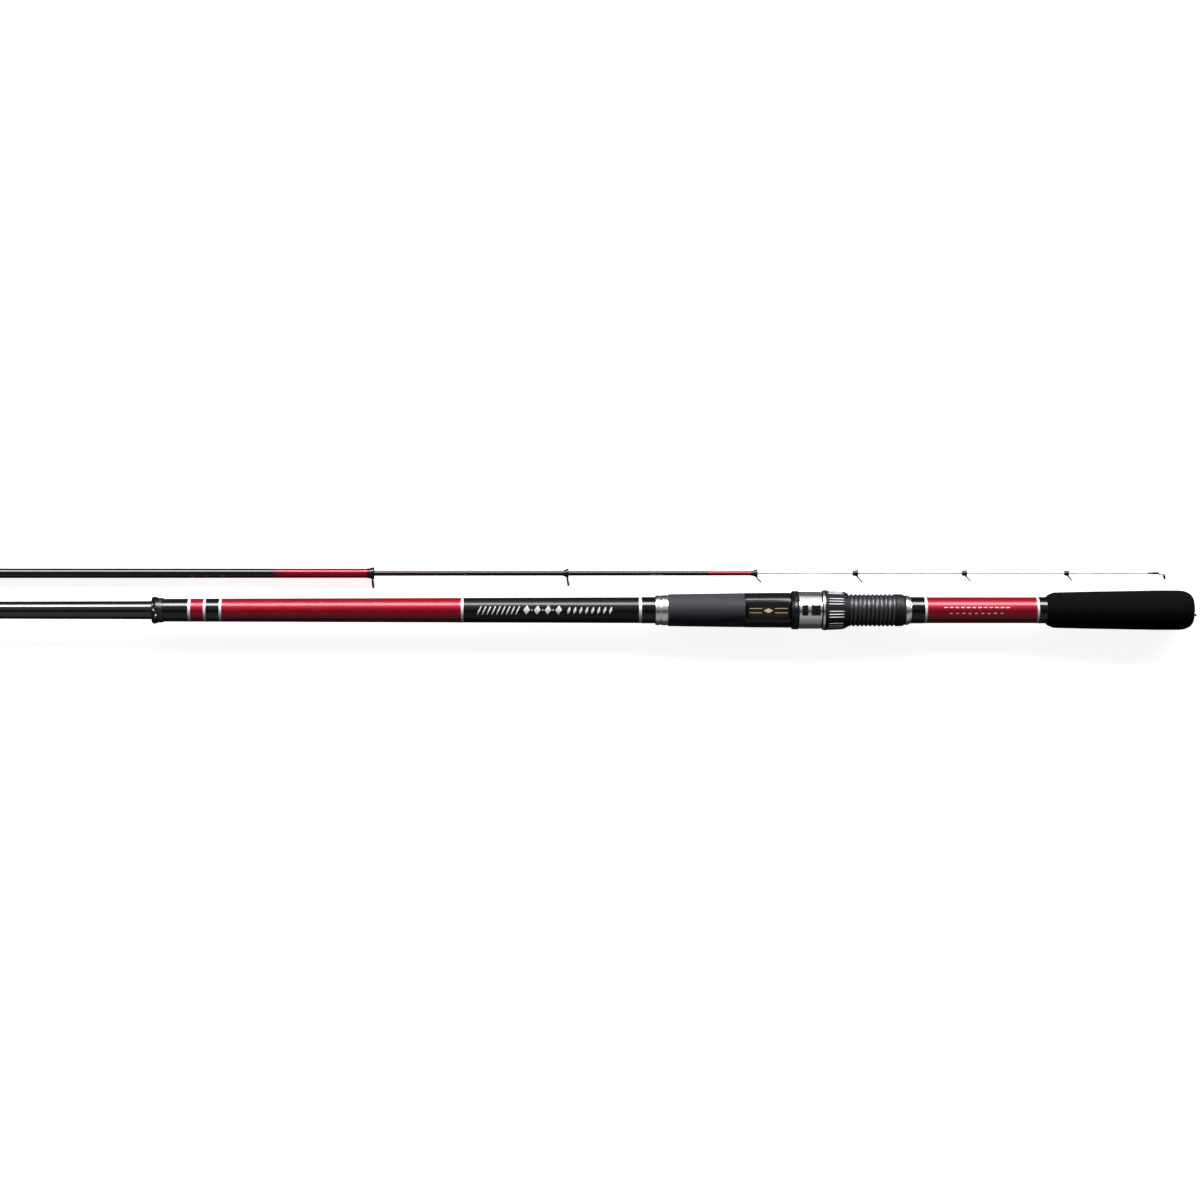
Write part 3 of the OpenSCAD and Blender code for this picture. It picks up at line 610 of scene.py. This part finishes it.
# %% Sections 3, 2 and 1
RED_END_2, RED_END_1 = 0.096, 0.046
section_2_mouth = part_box("section_2_tube")[1].x
section_1_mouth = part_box("section_1_tube")[1].x
black_lacquer = zoned_lacquer("black_lacquer", [NOWHERE])
shader_of(black_lacquer).inputs["Coat IOR"].default_value = 1.8
turned_copy("section_3_tube", BUTT, black_lacquer, "black_lacquer", 0.2)
turned_copy("section_3_wrap", BUTT, zoned_lacquer("red_winding", [EVERYWHERE]), "red_lacquer", 0.1)
section_2_paint = zoned_lacquer(
    "section_2_lacquer", [(section_2_mouth - RED_END_2, section_2_mouth + 0.01, 0.014)], red_roughness=0.3)
turned_copy("section_2_tube", TIP, section_2_paint, "black_lacquer", 0.15)
turned_copy("section_2_shoulder", TIP, foil, "silver_foil", 0.3)
section_1_paint = zoned_lacquer(
    "section_1_lacquer", [(section_1_mouth - RED_END_1, section_1_mouth + 0.01, 0.0004)],
    red=(0.24, 0.006, 0.016), red_roughness=0.5)
turned_copy("section_1_tube", TIP, section_1_paint, "black_lacquer", 0.15, 64)

# %% [markdown]
# ## Solid tip
# The last part is a solid white fibre rod, painted orange near the end so that a bite can be seen.

# %% Solid tip
ORANGE_LEN = 0.0515
tip_paint = zoned_lacquer(
    "tip_lacquer", [(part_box("tip_whipping")[0].x - ORANGE_LEN, 9.0, 0.0008)],
    red=(0.88, 0.4, 0.04), black=(0.92, 0.92, 0.9), red_metallic=0.0, red_roughness=0.35)
turned_copy("solid_tip", TIP, tip_paint, "white_lacquer", 0.1, 48)

# %% [markdown]
# ## Helper: smooth copies of the other shapes
# Guides, hoods and the plug aren't turned. A copy of the solid's mesh is welded, because its
# triangles are loose, and shaded smooth except where two faces meet at a clear angle.

# %% Helper: smooth copy


def smooth_copy(node, paint, slot, angle=32):
    mesh = frame["nodes"][node].data.copy()
    piece = new_piece("shaped_" + node, mesh)
    smooth_out(mesh, angle)
    return hand_over(piece, paint, slot, node)


# %% [markdown]
# ## Line guides
# Every guide is a smoked wire frame that stands on a collar and holds a hard ring. The ring is the
# darkest and glossiest part, since the line runs in it.

# %% Guides
smoked_wire = finish("smoked_wire", (0.035, 0.036, 0.04), 0.24, 0.1, metallic=0.9)
hard_ring = finish("hard_ring", (0.02, 0.021, 0.024), 0.12, 0.05, coat=1.0)
guides = ["mouth_guide", "section_3_guide", "section_2_guide", "tip_top"]
guides += [f"sliding_guide_{i}" for i in range(1, 6)]
for guide in guides:
    smooth_copy(guide + "_frame", smoked_wire, "guide_wire")
    smooth_copy(guide + "_ring", hard_ring, "guide_ceramic")

# %% [markdown]
# ## Butt grip
# The grip is a turned foam sleeve with a full round end. Foam shows open cells about half a
# millimetre across, and it hardly shines.

# %% Foam grip
foam = finish("foam", (0.005, 0.005, 0.0055), 0.85, 0.12, Specular_IOR_Level=0.02)
foam_grain = add_grain(foam, 0.0006, 0.00009)
foam_tone = mix_colour(
    foam.node_tree, foam_grain.outputs["Glint"], (0.002, 0.002, 0.0024), (0.007, 0.007, 0.0078))
foam.node_tree.links.new(foam_tone, shader_of(foam).inputs["Base Color"])
turned_copy("butt_grip", BUTT, foam, "foam", 0.5)

# %% [markdown]
# ## Front grip
# The front grip is moulded rubber that swells into a hump over the fixed hood, so it isn't turned.
# The solid is remeshed into even squares and smoothed, which softens every edge as a mould does.

# %% Helper: moulded copy


def plain_mesh(piece):
    """Replaces the piece's mesh by its evaluated one and removes the modifiers."""
    graph = bpy.context.evaluated_depsgraph_get()
    mesh = bpy.data.meshes.new_from_object(piece.evaluated_get(graph))
    piece.modifiers.clear()
    old = piece.data
    piece.data = mesh
    mesh.name = piece.name
    bpy.data.meshes.remove(old)
    return piece


def moulded_copy(node, paint, slot, cell, passes):
    mesh = frame["nodes"][node].data.copy()
    piece = new_piece("moulded_" + node, mesh)
    smooth_out(mesh)
    even = piece.modifiers.new("even", "REMESH")
    even.mode = "VOXEL"
    even.voxel_size = cell
    soft = piece.modifiers.new("soft", "SMOOTH")
    soft.factor = 0.5
    soft.iterations = passes
    plain_mesh(piece)
    piece.data.shade_smooth()
    return hand_over(piece, paint, slot, node)


# %% Front grip
rubber = finish("rubber", (0.05, 0.05, 0.06), 0.6, 0.1, Specular_IOR_Level=0.1)
add_grain(rubber, 0.0005, 0.00003)
moulded_copy("foregrip", rubber, "grip_rubber", 0.0006, 6)

# %% [markdown]
# ## Metal checks
# Two polished checks close the gaps between the blank, the grips and the seat. They are turned, and
# their brushed finish has only faint hair scratches.

# %% Checks and washer
chrome = finish("chrome", (0.86, 0.865, 0.88), 0.24, 0.06, metallic=1.0, bump=0.000003)
for turned, bevel in (("front_check", 0.25), ("rear_check", 0.2), ("hood_washer", 0.25)):
    turned_copy(turned, BUTT, chrome, "chrome", bevel)

# %% [markdown]
# ## Reel seat bed and hoods
# The bed is a moulded half shell, open at the top for the reel foot. A fixed hood holds one end of
# the foot and a sliding hood the other. The sliding hood has a black body under a bright shell.

# %% Bed and hoods
moulded_black = finish("moulded_black", (0.006, 0.006, 0.007), 0.26, 0.08, Specular_IOR_Level=0.4)
add_grain(moulded_black, 0.0004, 0.000002)
for moulded in ("seat_bed", "fixed_hood", "hood_cushion"):
    smooth_copy(moulded, moulded_black, "seat_black")
smooth_copy("hood_shell", chrome, "chrome", 40)

# %% [markdown]
# ## Windings with Geometry Nodes
# A screw thread and a thread winding are the same shape: a round wire that climbs along a tube. One
# node tree makes both. A spiral curve is laid along X, and a small circle is swept along it.

# %% Helper: start a Geometry Nodes tree


def geometry_tree(name, inputs):
    tree = bpy.data.node_groups.new(name, "GeometryNodeTree")
    tree.is_modifier = True
    tree.interface.new_socket("Geometry", in_out="INPUT", socket_type="NodeSocketGeometry")
    tree.interface.new_socket("Geometry", in_out="OUTPUT", socket_type="NodeSocketGeometry")
    for label, kind, value in inputs:
        socket = tree.interface.new_socket(label, in_out="INPUT", socket_type="NodeSocket" + kind)
        if value is not None:
            socket.default_value = value
    return tree, tree.nodes.new("NodeGroupInput"), tree.nodes.new("NodeGroupOutput")


def axis_point(tree, inputs):
    """The place on the centre line where a tree starts to build."""
    x, y, z = (inputs.outputs[label] for label in ("Start", "Axis Y", "Axis Z"))
    return add_node(tree, "ShaderNodeCombineXYZ", X=x, Y=y, Z=z).outputs[0]


def real_instances(tree, geometry):
    return add_node(tree, "GeometryNodeRealizeInstances", Geometry=geometry).outputs[0]


def paint_and_end(tree, geometry, inputs, outputs):
    painter = add_node(tree, "GeometryNodeSetMaterial", Geometry=geometry, Material=inputs.outputs["Paint"])
    tree.links.new(painter.outputs[0], outputs.inputs[0])
    print(tree.name, "is ready")


def grown_piece(name, tree, centre, paint, **values):
    """A new piece made by a tree, with its inputs set by their identifiers."""
    values |= {"Axis Y": centre.y, "Axis Z": centre.z, "Paint": paint}
    piece = new_piece(name, bpy.data.meshes.new(name))
    grower = piece.modifiers.new("grow", "NODES")
    grower.node_group = tree
    keys = {item.name: item.identifier for item in tree.interface.items_tree if item.in_out == "INPUT"}
    for label, value in values.items():
        grower[keys[label.replace("_", " ")]] = value
    return plain_mesh(piece)


# %% Winding tree
winding, coil_in, coil_out = geometry_tree("winding", [
    ("Start", "Float", 0.0), ("Length", "Float", 0.01), ("Start Radius", "Float", 0.01),
    ("End Radius", "Float", 0.01), ("Pitch", "Float", 0.001), ("Wire Radius", "Float", 0.0003),
    ("Steps", "Int", 48), ("Axis Y", "Float", 0.0), ("Axis Z", "Float", 0.0), ("Paint", "Material", None)])
coil = coil_in.outputs
coil_spiral = add_node(
    winding, "GeometryNodeCurveSpiral", Resolution=coil["Steps"], Start_Radius=coil["Start Radius"],
    End_Radius=coil["End Radius"], Height=coil["Length"],
    Rotations=math_node(winding, "DIVIDE", coil["Length"], coil["Pitch"]))
coil_lay = add_node(winding, "GeometryNodeTransform", Geometry=coil_spiral.outputs[0],
                    Translation=axis_point(winding, coil_in), Rotation=(0, math.pi / 2, 0))
coil_wire = add_node(winding, "GeometryNodeCurvePrimitiveCircle", Resolution=8, Radius=coil["Wire Radius"])
coil_sweep = add_node(winding, "GeometryNodeCurveToMesh", Curve=coil_lay.outputs[0],
                      Profile_Curve=coil_wire.outputs[0], Fill_Caps=True)
paint_and_end(winding, real_instances(winding, coil_sweep.outputs[0]), coil_in, coil_out)

# %% Helper: a coil of even radius


def even_coil(name, centre, paint, start, length, radius, **values):
    return grown_piece(name, winding, centre, paint, Start=start, Length=length, Start_Radius=radius,
                       End_Radius=radius, **values)


# %% [markdown]
# ## Threaded barrel
# The lock nut runs on this barrel. Its core is turned a little thinner than the solid, and a
# right-hand crest with a 4 mm pitch winds round it. A channel at the front lets the slide hood's
# foot pocket pass, so both the core and the crest are cut there with a Boolean modifier. The core
# is painted near black under the satin grey crest: painted shade in the thread roots.

# %% Helper: cut a piece with a block


def cut_block(piece, low, high):
    bpy.ops.mesh.primitive_cube_add(size=1)
    block = bpy.context.active_object
    block.data.transform(Matrix.Translation((Vector(low) + Vector(high)) / 2)
                         @ Matrix.Diagonal((*(Vector(high) - Vector(low)), 1)))
    cut = piece.modifiers.new("cut", "BOOLEAN")
    cut.operation = "DIFFERENCE"
    cut.object = block
    plain_mesh(piece)
    bpy.data.objects.remove(block)
    smooth_out(piece.data)
    return piece


# %% Barrel core and crest
barrel_low, barrel_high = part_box("seat_barrel")
BARREL_R = (barrel_high.y - barrel_low.y) / 2
BLANK_R = 12.2 * MM
CREST = 1.2 * MM
CHANNEL_LEN, CHANNEL_HALF, CHANNEL_FLOOR = 38.3 * MM, 17 * MM, 12.9 * MM
thread_from, thread_to = barrel_low.x + 6 * MM, barrel_high.x - 10 * MM
core_line = [
    (barrel_low.x, BLANK_R), (barrel_low.x, BARREL_R - CREST), (thread_to, BARREL_R - CREST),
    (thread_to + 1 * MM, BARREL_R - 0.1 * MM), (barrel_high.x - 3 * MM, BARREL_R - 0.3 * MM),
    (barrel_high.x - 1 * MM, BARREL_R - 1.2 * MM), (barrel_high.x, BARREL_R - 2 * MM), (barrel_high.x, BLANK_R)]
satin_grey = finish("satin_grey", (0.07, 0.071, 0.078), 0.36, 0.1, metallic=0.6)
# Painted shade: the barrel core, one part with the crest, is painted near black so the thread roots read as
# shaded.
thread_root_painted_shade = finish("thread_root_painted_shade", (0.008, 0.008, 0.009), 0.5, 0.1, Specular_IOR_Level=0.2)
barrel_core = lathe("barrel_core", [rounded(core_line, 0.3 * MM)], BUTT)
barrel_crest = even_coil("barrel_crest", BUTT, satin_grey, thread_from, thread_to - thread_from,
                         BARREL_R - 1.3 * MM, Pitch=4 * MM, Wire_Radius=1.28 * MM, Steps=64)
channel_low = (barrel_low.x - 1 * MM, BUTT.y - CHANNEL_HALF, BUTT.z + CHANNEL_FLOOR)
channel_high = (barrel_low.x + CHANNEL_LEN, BUTT.y + CHANNEL_HALF, BUTT.z + 30 * MM)
hand_over(cut_block(barrel_core, channel_low, channel_high), thread_root_painted_shade, "barrel_grey", "seat_barrel")
hand_over(cut_block(barrel_crest, channel_low, channel_high), satin_grey, "barrel_grey", body="butt_section")

# %% [markdown]
# ## Lock nut
# The nut is a turned ring with bright grip ribs in groups of three. Each rib is the same slim bar, so
# Geometry Nodes place it: the number of the rib gives its group and its place in the group, and
# those two give its angle.

# %% Rib tree
rib_ring, rib_in, rib_out = geometry_tree("rib_ring", [
    ("Count", "Int", 27), ("Group Size", "Float", 3.0), ("Group Angle", "Float", 0.7),
    ("Step", "Float", 0.15), ("First Angle", "Float", 0.0), ("Start", "Float", 0.0),
    ("Length", "Float", 0.01), ("Front Radius", "Float", 0.01), ("Rear Radius", "Float", 0.01),
    ("Rib Radius", "Float", 0.0005), ("Axis Y", "Float", 0.0), ("Axis Z", "Float", 0.0),
    ("Paint", "Material", None)])
rib = rib_in.outputs
rib_from = add_node(rib_ring, "ShaderNodeCombineXYZ", Z=rib["Front Radius"]).outputs[0]
rib_to = add_node(rib_ring, "ShaderNodeCombineXYZ", X=rib["Length"], Z=rib["Rear Radius"]).outputs[0]
rib_line = add_node(rib_ring, "GeometryNodeCurvePrimitiveLine", Start=rib_from, End=rib_to)
rib_points = add_node(rib_ring, "GeometryNodeResampleCurve", Curve=rib_line.outputs[0], Count=9)
rib_share = rib_ring.nodes.new("GeometryNodeSplineParameter").outputs["Factor"]
rib_side = math_node(rib_ring, "ABSOLUTE", math_node(rib_ring, "MULTIPLY_ADD", rib_share, 2, -1))
rib_taper = math_node(rib_ring, "SUBTRACT", 1, math_node(rib_ring, "POWER", rib_side, 6))
rib_width = math_node(rib_ring, "MULTIPLY_ADD", math_node(rib_ring, "SQRT", rib_taper), 0.9, 0.1)
rib_profile = add_node(rib_ring, "GeometryNodeCurvePrimitiveCircle", Resolution=10, Radius=rib["Rib Radius"])
rib_sweep = add_node(rib_ring, "GeometryNodeCurveToMesh", Curve=rib_points.outputs[0],
                     Profile_Curve=rib_profile.outputs[0], Scale=rib_width, Fill_Caps=True)
rib_spots = add_node(rib_ring, "GeometryNodeMeshLine", Count=rib["Count"], Offset=(0, 0, 0),
                     Start_Location=axis_point(rib_ring, rib_in))
rib_index = rib_ring.nodes.new("GeometryNodeInputIndex").outputs[0]
rib_group = math_node(rib_ring, "FLOOR", math_node(rib_ring, "DIVIDE", rib_index, rib["Group Size"]))
rib_place = math_node(rib_ring, "SUBTRACT", math_node(rib_ring, "MODULO", rib_index, rib["Group Size"]), 1)
rib_angle = math_node(rib_ring, "MULTIPLY_ADD", rib_group, rib["Group Angle"], math_node(
    rib_ring, "MULTIPLY_ADD", rib_place, rib["Step"], rib["First Angle"]))
rib_turn = add_node(rib_ring, "ShaderNodeCombineXYZ", X=rib_angle)
rib_set = add_node(rib_ring, "GeometryNodeInstanceOnPoints", Points=rib_spots.outputs[0],
                   Instance=rib_sweep.outputs[0], Rotation=rib_turn.outputs[0])
paint_and_end(rib_ring, real_instances(rib_ring, rib_set.outputs[0]), rib_in, rib_out)

# %% Lock nut and its ribs
nut_low, nut_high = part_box("lock_nut")
NUT_R = (nut_high.y - nut_low.y) / 2
NUT_BODY = 0.82 * (nut_high.x - nut_low.x)
nut_line = [
    (nut_low.x, BARREL_R + 0.12 * MM), (nut_low.x, NUT_R - 0.4 * MM), (nut_low.x + 0.6 * MM, NUT_R),
    (nut_low.x + 1.8 * MM, NUT_R), (nut_low.x + 2.3 * MM, NUT_R - 0.45 * MM),
    (nut_low.x + NUT_BODY, NUT_R - 1.3 * MM), (nut_high.x, BARREL_R + 0.6 * MM),
    (nut_high.x, BARREL_R + 0.12 * MM)]
nut_black = finish("nut_black", (0.012, 0.012, 0.014), 0.45, 0.1, Specular_IOR_Level=0.1)
hand_over(lathe("nut_body", [rounded(nut_line, 0.3 * MM)], BUTT), nut_black, "nut_black", "lock_nut")
bright_edge = finish("bright_edge", (0.7, 0.71, 0.73), 0.34, 0.1, metallic=0.8)
nut_ribs = grown_piece(
    "nut_ribs", rib_ring, BUTT, bright_edge, Count=27, Group_Size=3.0, Group_Angle=math.radians(40),
    Step=math.radians(9), First_Angle=math.radians(12), Start=nut_low.x + 2.6 * MM,
    Length=NUT_BODY - 2.8 * MM, Front_Radius=NUT_R - 0.5 * MM, Rear_Radius=NUT_R - 1.3 * MM,
    Rib_Radius=0.32 * MM)
nut_ribs.data.shade_smooth()
hand_over(nut_ribs, bright_edge, "chrome", body="lock_nut")

# %% [markdown]
# ## Seat plate
# A thin plate lies in the bed under the reel foot. Its upper edge is bevelled all round and catches
# a line of light. A dark brown label with gold lines and one plain lozenge lies on its flat top.

# %% Helper: slab with round corners


def slab(name, low, high, corner, bevel, segments=3):
    made = bmesh.new()
    ring = []
    for k in range(4):
        middle = Vector((high[0] - corner if k in (0, 3) else low[0] + corner,
                         high[1] - corner if k < 2 else low[1] + corner, low[2]))
        for step in range(9):
            angle = math.pi / 2 * (k + step / 8)
            ring.append(made.verts.new(middle + Vector((math.cos(angle), math.sin(angle), 0)) * corner))
    bottom = made.faces.new(ring)
    top = bmesh.ops.extrude_face_region(made, geom=[bottom])["geom"]
    top_points = [v for v in top if isinstance(v, bmesh.types.BMVert)]
    bmesh.ops.translate(made, vec=(0, 0, high[2] - low[2]), verts=top_points)
    rim = [e for e in made.edges if all(abs(v.co.z - high[2]) < 1e-7 for v in e.verts)]
    if bevel:
        bmesh.ops.bevel(made, geom=rim, offset=bevel, segments=segments, affect="EDGES", profile=0.5)
    mesh = bpy.data.meshes.new(name)
    made.to_mesh(mesh)
    made.free()
    smooth_out(mesh, 20)
    return new_piece(name, mesh)


def joined(name, parts):
    made = bmesh.new()
    for part in parts:
        made.from_mesh(part.data)
        bpy.data.objects.remove(part)
    mesh = bpy.data.meshes.new(name)
    made.to_mesh(mesh)
    made.free()
    return new_piece(name, mesh)


# %% Plate, label, gold lines and lozenge
plate_low, plate_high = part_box("seat_plate")
PLATE_TOP = plate_high.z
plate = slab("bed_plate", plate_low, plate_high, 3 * MM, 0.7 * MM)
hand_over(plate, moulded_black, "seat_black", "seat_plate")
label_brown = finish("label_brown", (0.012, 0.005, 0.004), 0.3, 0.08, coat=0.4)
label = slab("bed_label", (plate_low.x + 2 * MM, plate_low.y + 1.6 * MM, PLATE_TOP - 0.2 * MM),
             (plate_high.x - 2 * MM, plate_high.y - 5.2 * MM, PLATE_TOP + 0.12 * MM), 1 * MM, 0.05 * MM, 1)
hand_over(label, label_brown, "seat_black", body="butt_section")
gold = finish("gold_print", (0.9, 0.66, 0.42), 0.45, 0.1, metallic=0.4)
GOLD_TOP = PLATE_TOP + 0.2 * MM
GOLD_HALF = 0.24 * MM
gold_spans = [(plate_low.x + 3.2 * MM, plate_low.x + 15 * MM),
              (plate_high.x - 15 * MM, plate_high.x - 3.2 * MM)]
gold_parts = []
for y in (BUTT.y + 1.6 * MM, BUTT.y - 2.4 * MM):
    for x0, x1 in gold_spans:
        gold_parts.append(slab("gold_line", (x0, y - GOLD_HALF, GOLD_TOP - 0.2 * MM),
                               (x1, y + GOLD_HALF, GOLD_TOP), 0.2 * MM, 0.03 * MM, 1))
lozenge = slab("gold_lozenge", (-2.1 * MM, -2.1 * MM, GOLD_TOP - 0.2 * MM), (2.1 * MM, 2.1 * MM, GOLD_TOP),
               0.3 * MM, 0.03 * MM, 1)
lozenge.data.transform(Matrix.Translation(((plate_low.x + plate_high.x) / 2, BUTT.y - 0.4 * MM, 0))
                       @ Matrix.Diagonal((1.5, 0.8, 1, 1)) @ Matrix.Rotation(math.pi / 4, 4, "Z"))
gold_parts.append(lozenge)
hand_over(joined("gold_print", gold_parts), gold, "silver_foil", body="butt_section")

# %% [markdown]
# ## Thread bindings on the guides
# The collars of the large guides and the end of the tip are bound with thread. On the mouth guide
# and the tip the turns are thick enough to see, so they are real coils from the winding tree.

# %% Bindings
binding = finish("binding_thread", (0.02, 0.021, 0.025), 0.36, 0.1, coat=0.8, Coat_Roughness=0.1)
mouth_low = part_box("mouth_guide_frame")[0]
MOUTH_COLLAR_R = 11.3 * MM
mouth_binding = even_coil("mouth_binding", BUTT, binding, mouth_low.x + 6.2 * MM, 3.9 * MM, MOUTH_COLLAR_R,
                          Pitch=0.75 * MM, Wire_Radius=0.38 * MM, Steps=64)
hand_over(mouth_binding, binding, "guide_wire", body="butt_section").data.shade_smooth()
brown_thread = finish("brown_thread", (0.05, 0.04, 0.018), 0.5, 0.1, coat=0.5)
whip_low, whip_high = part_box("tip_whipping")
turned_copy("tip_whipping", TIP, brown_thread, "thread_brown", 0.05, 48)
WHIP_R = (whip_high.y - whip_low.y) / 2
whipping_turns = even_coil(
    "whipping_turns", TIP, brown_thread, whip_low.x + 0.15 * MM, whip_high.x - whip_low.x - 0.3 * MM, WHIP_R,
    Pitch=0.24 * MM, Wire_Radius=0.12 * MM, Steps=32)
hand_over(whipping_turns, brown_thread, "thread_brown", body="section_1").data.shade_smooth()

# %% [markdown]
# ## Butt end
# A screw plug closes the blank inside a light metal bushing, with a soft washer under its head and a
# soft bumper at its inner end. A wire ring on two lugs takes a lanyard.

# %% Plug, bushing, washer and ring
light_metal = finish("light_metal", (0.6, 0.61, 0.63), 0.34, 0.1, metallic=1.0)
plug_metal = finish("plug_metal", (0.06, 0.062, 0.068), 0.36, 0.1, metallic=0.85)
soft_rubber = finish("soft_rubber", (0.02, 0.02, 0.021), 0.6, 0.1)
turned_copy("butt_bushing", BUTT, light_metal, "light_alloy", 0.2, 96)
turned_copy("plug_gasket", BUTT, soft_rubber, "soft_rubber", 0.3, 96)
turned_copy("plug_bumper", BUTT, soft_rubber, "soft_rubber", 0.8, 64)
smooth_copy("butt_plug", plug_metal, "plug_alloy")
smooth_copy("lanyard_ring", chrome, "chrome")

# %% [markdown]
# ## Printed marks
# The black zone and the rear red zone carry small silver marks, here plain lozenges, bars and
# dashes. A flat mark is repeated along a line and then wrapped round the tapered blank: its
# distance from the line becomes an angle, and its height adds to the radius.

# %% Mark tree
marks, mark_in, mark_out = geometry_tree("printed_marks", [
    ("Count", "Int", 5), ("Spacing", "Float", 0.01), ("Start", "Float", 0.0), ("Width", "Float", 0.004),
    ("Height", "Float", 0.006), ("Slant", "Float", 0.0), ("Point", "Float", 0.0),
    ("Start Radius", "Float", 0.012),
    ("Radius Slope", "Float", 0.0), ("Offset", "Float", 0.0), ("Thickness", "Float", 0.00006),
    ("Axis Y", "Float", 0.0), ("Axis Z", "Float", 0.0), ("Paint", "Material", None)])
mark = mark_in.outputs
mark_grid = add_node(marks, "GeometryNodeMeshGrid", Vertices_X=3, Vertices_Y=11, Size_X=mark["Width"],
                     Size_Y=mark["Height"])


def position_parts(tree):
    place = tree.nodes.new("GeometryNodeInputPosition").outputs[0]
    return add_node(tree, "ShaderNodeSeparateXYZ", Vector=place).outputs


def set_position(tree, geometry, x, y, z):
    place = add_node(tree, "ShaderNodeCombineXYZ", X=x, Y=y, Z=z).outputs[0]
    return add_node(tree, "GeometryNodeSetPosition", Geometry=geometry, Position=place).outputs[0]


# %% Shape of one mark, then the row, then the wrap
flat = position_parts(marks)
MARK_END = 1.96
mark_side = math_node(marks, "DIVIDE", math_node(marks, "ABSOLUTE", flat["Y"]), mark["Height"])
mark_lost = math_node(marks, "MULTIPLY", math_node(marks, "MULTIPLY", mark_side, MARK_END), mark["Point"])
mark_narrow = math_node(marks, "MULTIPLY", flat["X"], math_node(marks, "SUBTRACT", 1, mark_lost))
mark_x = math_node(marks, "MULTIPLY_ADD", flat["Y"], mark["Slant"], mark_narrow)
mark_flat = set_position(marks, mark_grid.outputs[0], mark_x, flat["Y"], flat["Z"])
mark_raise = add_node(marks, "GeometryNodeExtrudeMesh", Mesh=mark_flat, Offset_Scale=mark["Thickness"],
                      Individual=False)
mark_under = add_node(marks, "GeometryNodeFlipFaces", Mesh=mark_flat)
mark_closed = marks.nodes.new("GeometryNodeJoinGeometry")
for part in (mark_raise, mark_under):
    marks.links.new(part.outputs[0], mark_closed.inputs[0])
mark_welded = add_node(marks, "GeometryNodeMergeByDistance", Geometry=mark_closed.outputs[0],
                       Distance=0.000002)
mark_step = add_node(marks, "ShaderNodeCombineXYZ", X=mark["Spacing"])
mark_first = add_node(marks, "ShaderNodeCombineXYZ", Y=mark["Offset"])
mark_spots = add_node(marks, "GeometryNodeMeshLine", Count=mark["Count"], Offset=mark_step.outputs[0],
                      Start_Location=mark_first.outputs[0])
mark_set = add_node(marks, "GeometryNodeInstanceOnPoints", Points=mark_spots.outputs[0],
                    Instance=mark_welded.outputs[0])
laid = position_parts(marks)
mark_radius = math_node(marks, "MULTIPLY_ADD", laid["X"], mark["Radius Slope"], mark["Start Radius"])
mark_angle = math_node(marks, "DIVIDE", laid["Y"], mark_radius)
mark_lift = math_node(marks, "ADD", laid["Z"], mark_radius)
mark_y, mark_z = (
    math_node(marks, "MULTIPLY_ADD", math_node(marks, wave, mark_angle), mark_lift, mark[axis])
    for wave, axis in (("SINE", "Axis Y"), ("COSINE", "Axis Z")))
mark_wrapped = set_position(
    marks, real_instances(marks, mark_set.outputs[0]),
    math_node(marks, "ADD", laid["X"], mark["Start"]), mark_y, mark_z)
paint_and_end(marks, mark_wrapped, mark_in, mark_out)

# %% [markdown]
# ### The rows
# Each row is one call of the tree. The blank tapers between its mouth and the front check, so every
# row starts from the radius at its own place.

# %% Rows of marks
tube_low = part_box("butt_section_tube")[0]
MOUTH_R = 10.7 * MM
taper_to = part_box("front_check")[0].x
TAPER = (BLANK_R - MOUTH_R) / (taper_to - tube_low.x)
SUNK = 0.02 * MM
silver_print = finish("silver_print", (0.95, 0.95, 0.96), 0.45, 0.1, metallic=0.1)


def mark_row(name, start, **values):
    radius = min(BLANK_R, MOUTH_R + TAPER * (start - tube_low.x))
    slope = TAPER if start < taper_to else 0.0
    return grown_piece(name, marks, BUTT, silver_print, Start=start, Start_Radius=radius - SUNK,
                       Radius_Slope=slope, **values)


label_start = ring_spans[3][1]
label_len = ring_spans[4][0] - label_start
rows = [
    mark_row("row_bars", label_start + 0.09 * label_len, Count=9, Spacing=4.5 * MM, Width=1.7 * MM,
             Height=8 * MM, Slant=0.45, Point=0.5, Offset=-0.2 * MM),
    mark_row("row_lozenges", label_start + 0.36 * label_len, Count=4, Spacing=10 * MM, Width=6.4 * MM,
             Height=8.6 * MM, Slant=0.12, Point=1.0, Offset=0.2 * MM),
    mark_row("row_beads", label_start + 0.39 * label_len, Count=3, Spacing=10 * MM, Width=1.6 * MM,
             Height=2.2 * MM, Slant=0.0, Point=1.0, Offset=0.2 * MM),
    mark_row("row_strokes", label_start + 0.6 * label_len, Count=8, Spacing=5.6 * MM, Width=3 * MM,
             Height=6.4 * MM, Slant=0.3, Point=0.8, Offset=-0.2 * MM),
    mark_row("row_dashes_upper", ring_spans[5][1] + 17 * MM, Count=12, Spacing=5.3 * MM, Width=3.4 * MM,
             Height=0.9 * MM, Slant=0.3, Point=0.0, Offset=2.6 * MM),
    mark_row("row_dashes_lower", ring_spans[5][1] + 22 * MM, Count=9, Spacing=5.9 * MM, Width=2.6 * MM,
             Height=0.9 * MM, Slant=0.3, Point=0.0, Offset=-3 * MM),
]
hand_over(joined("printed_rows", rows), silver_print, "silver_foil", body="butt_section")
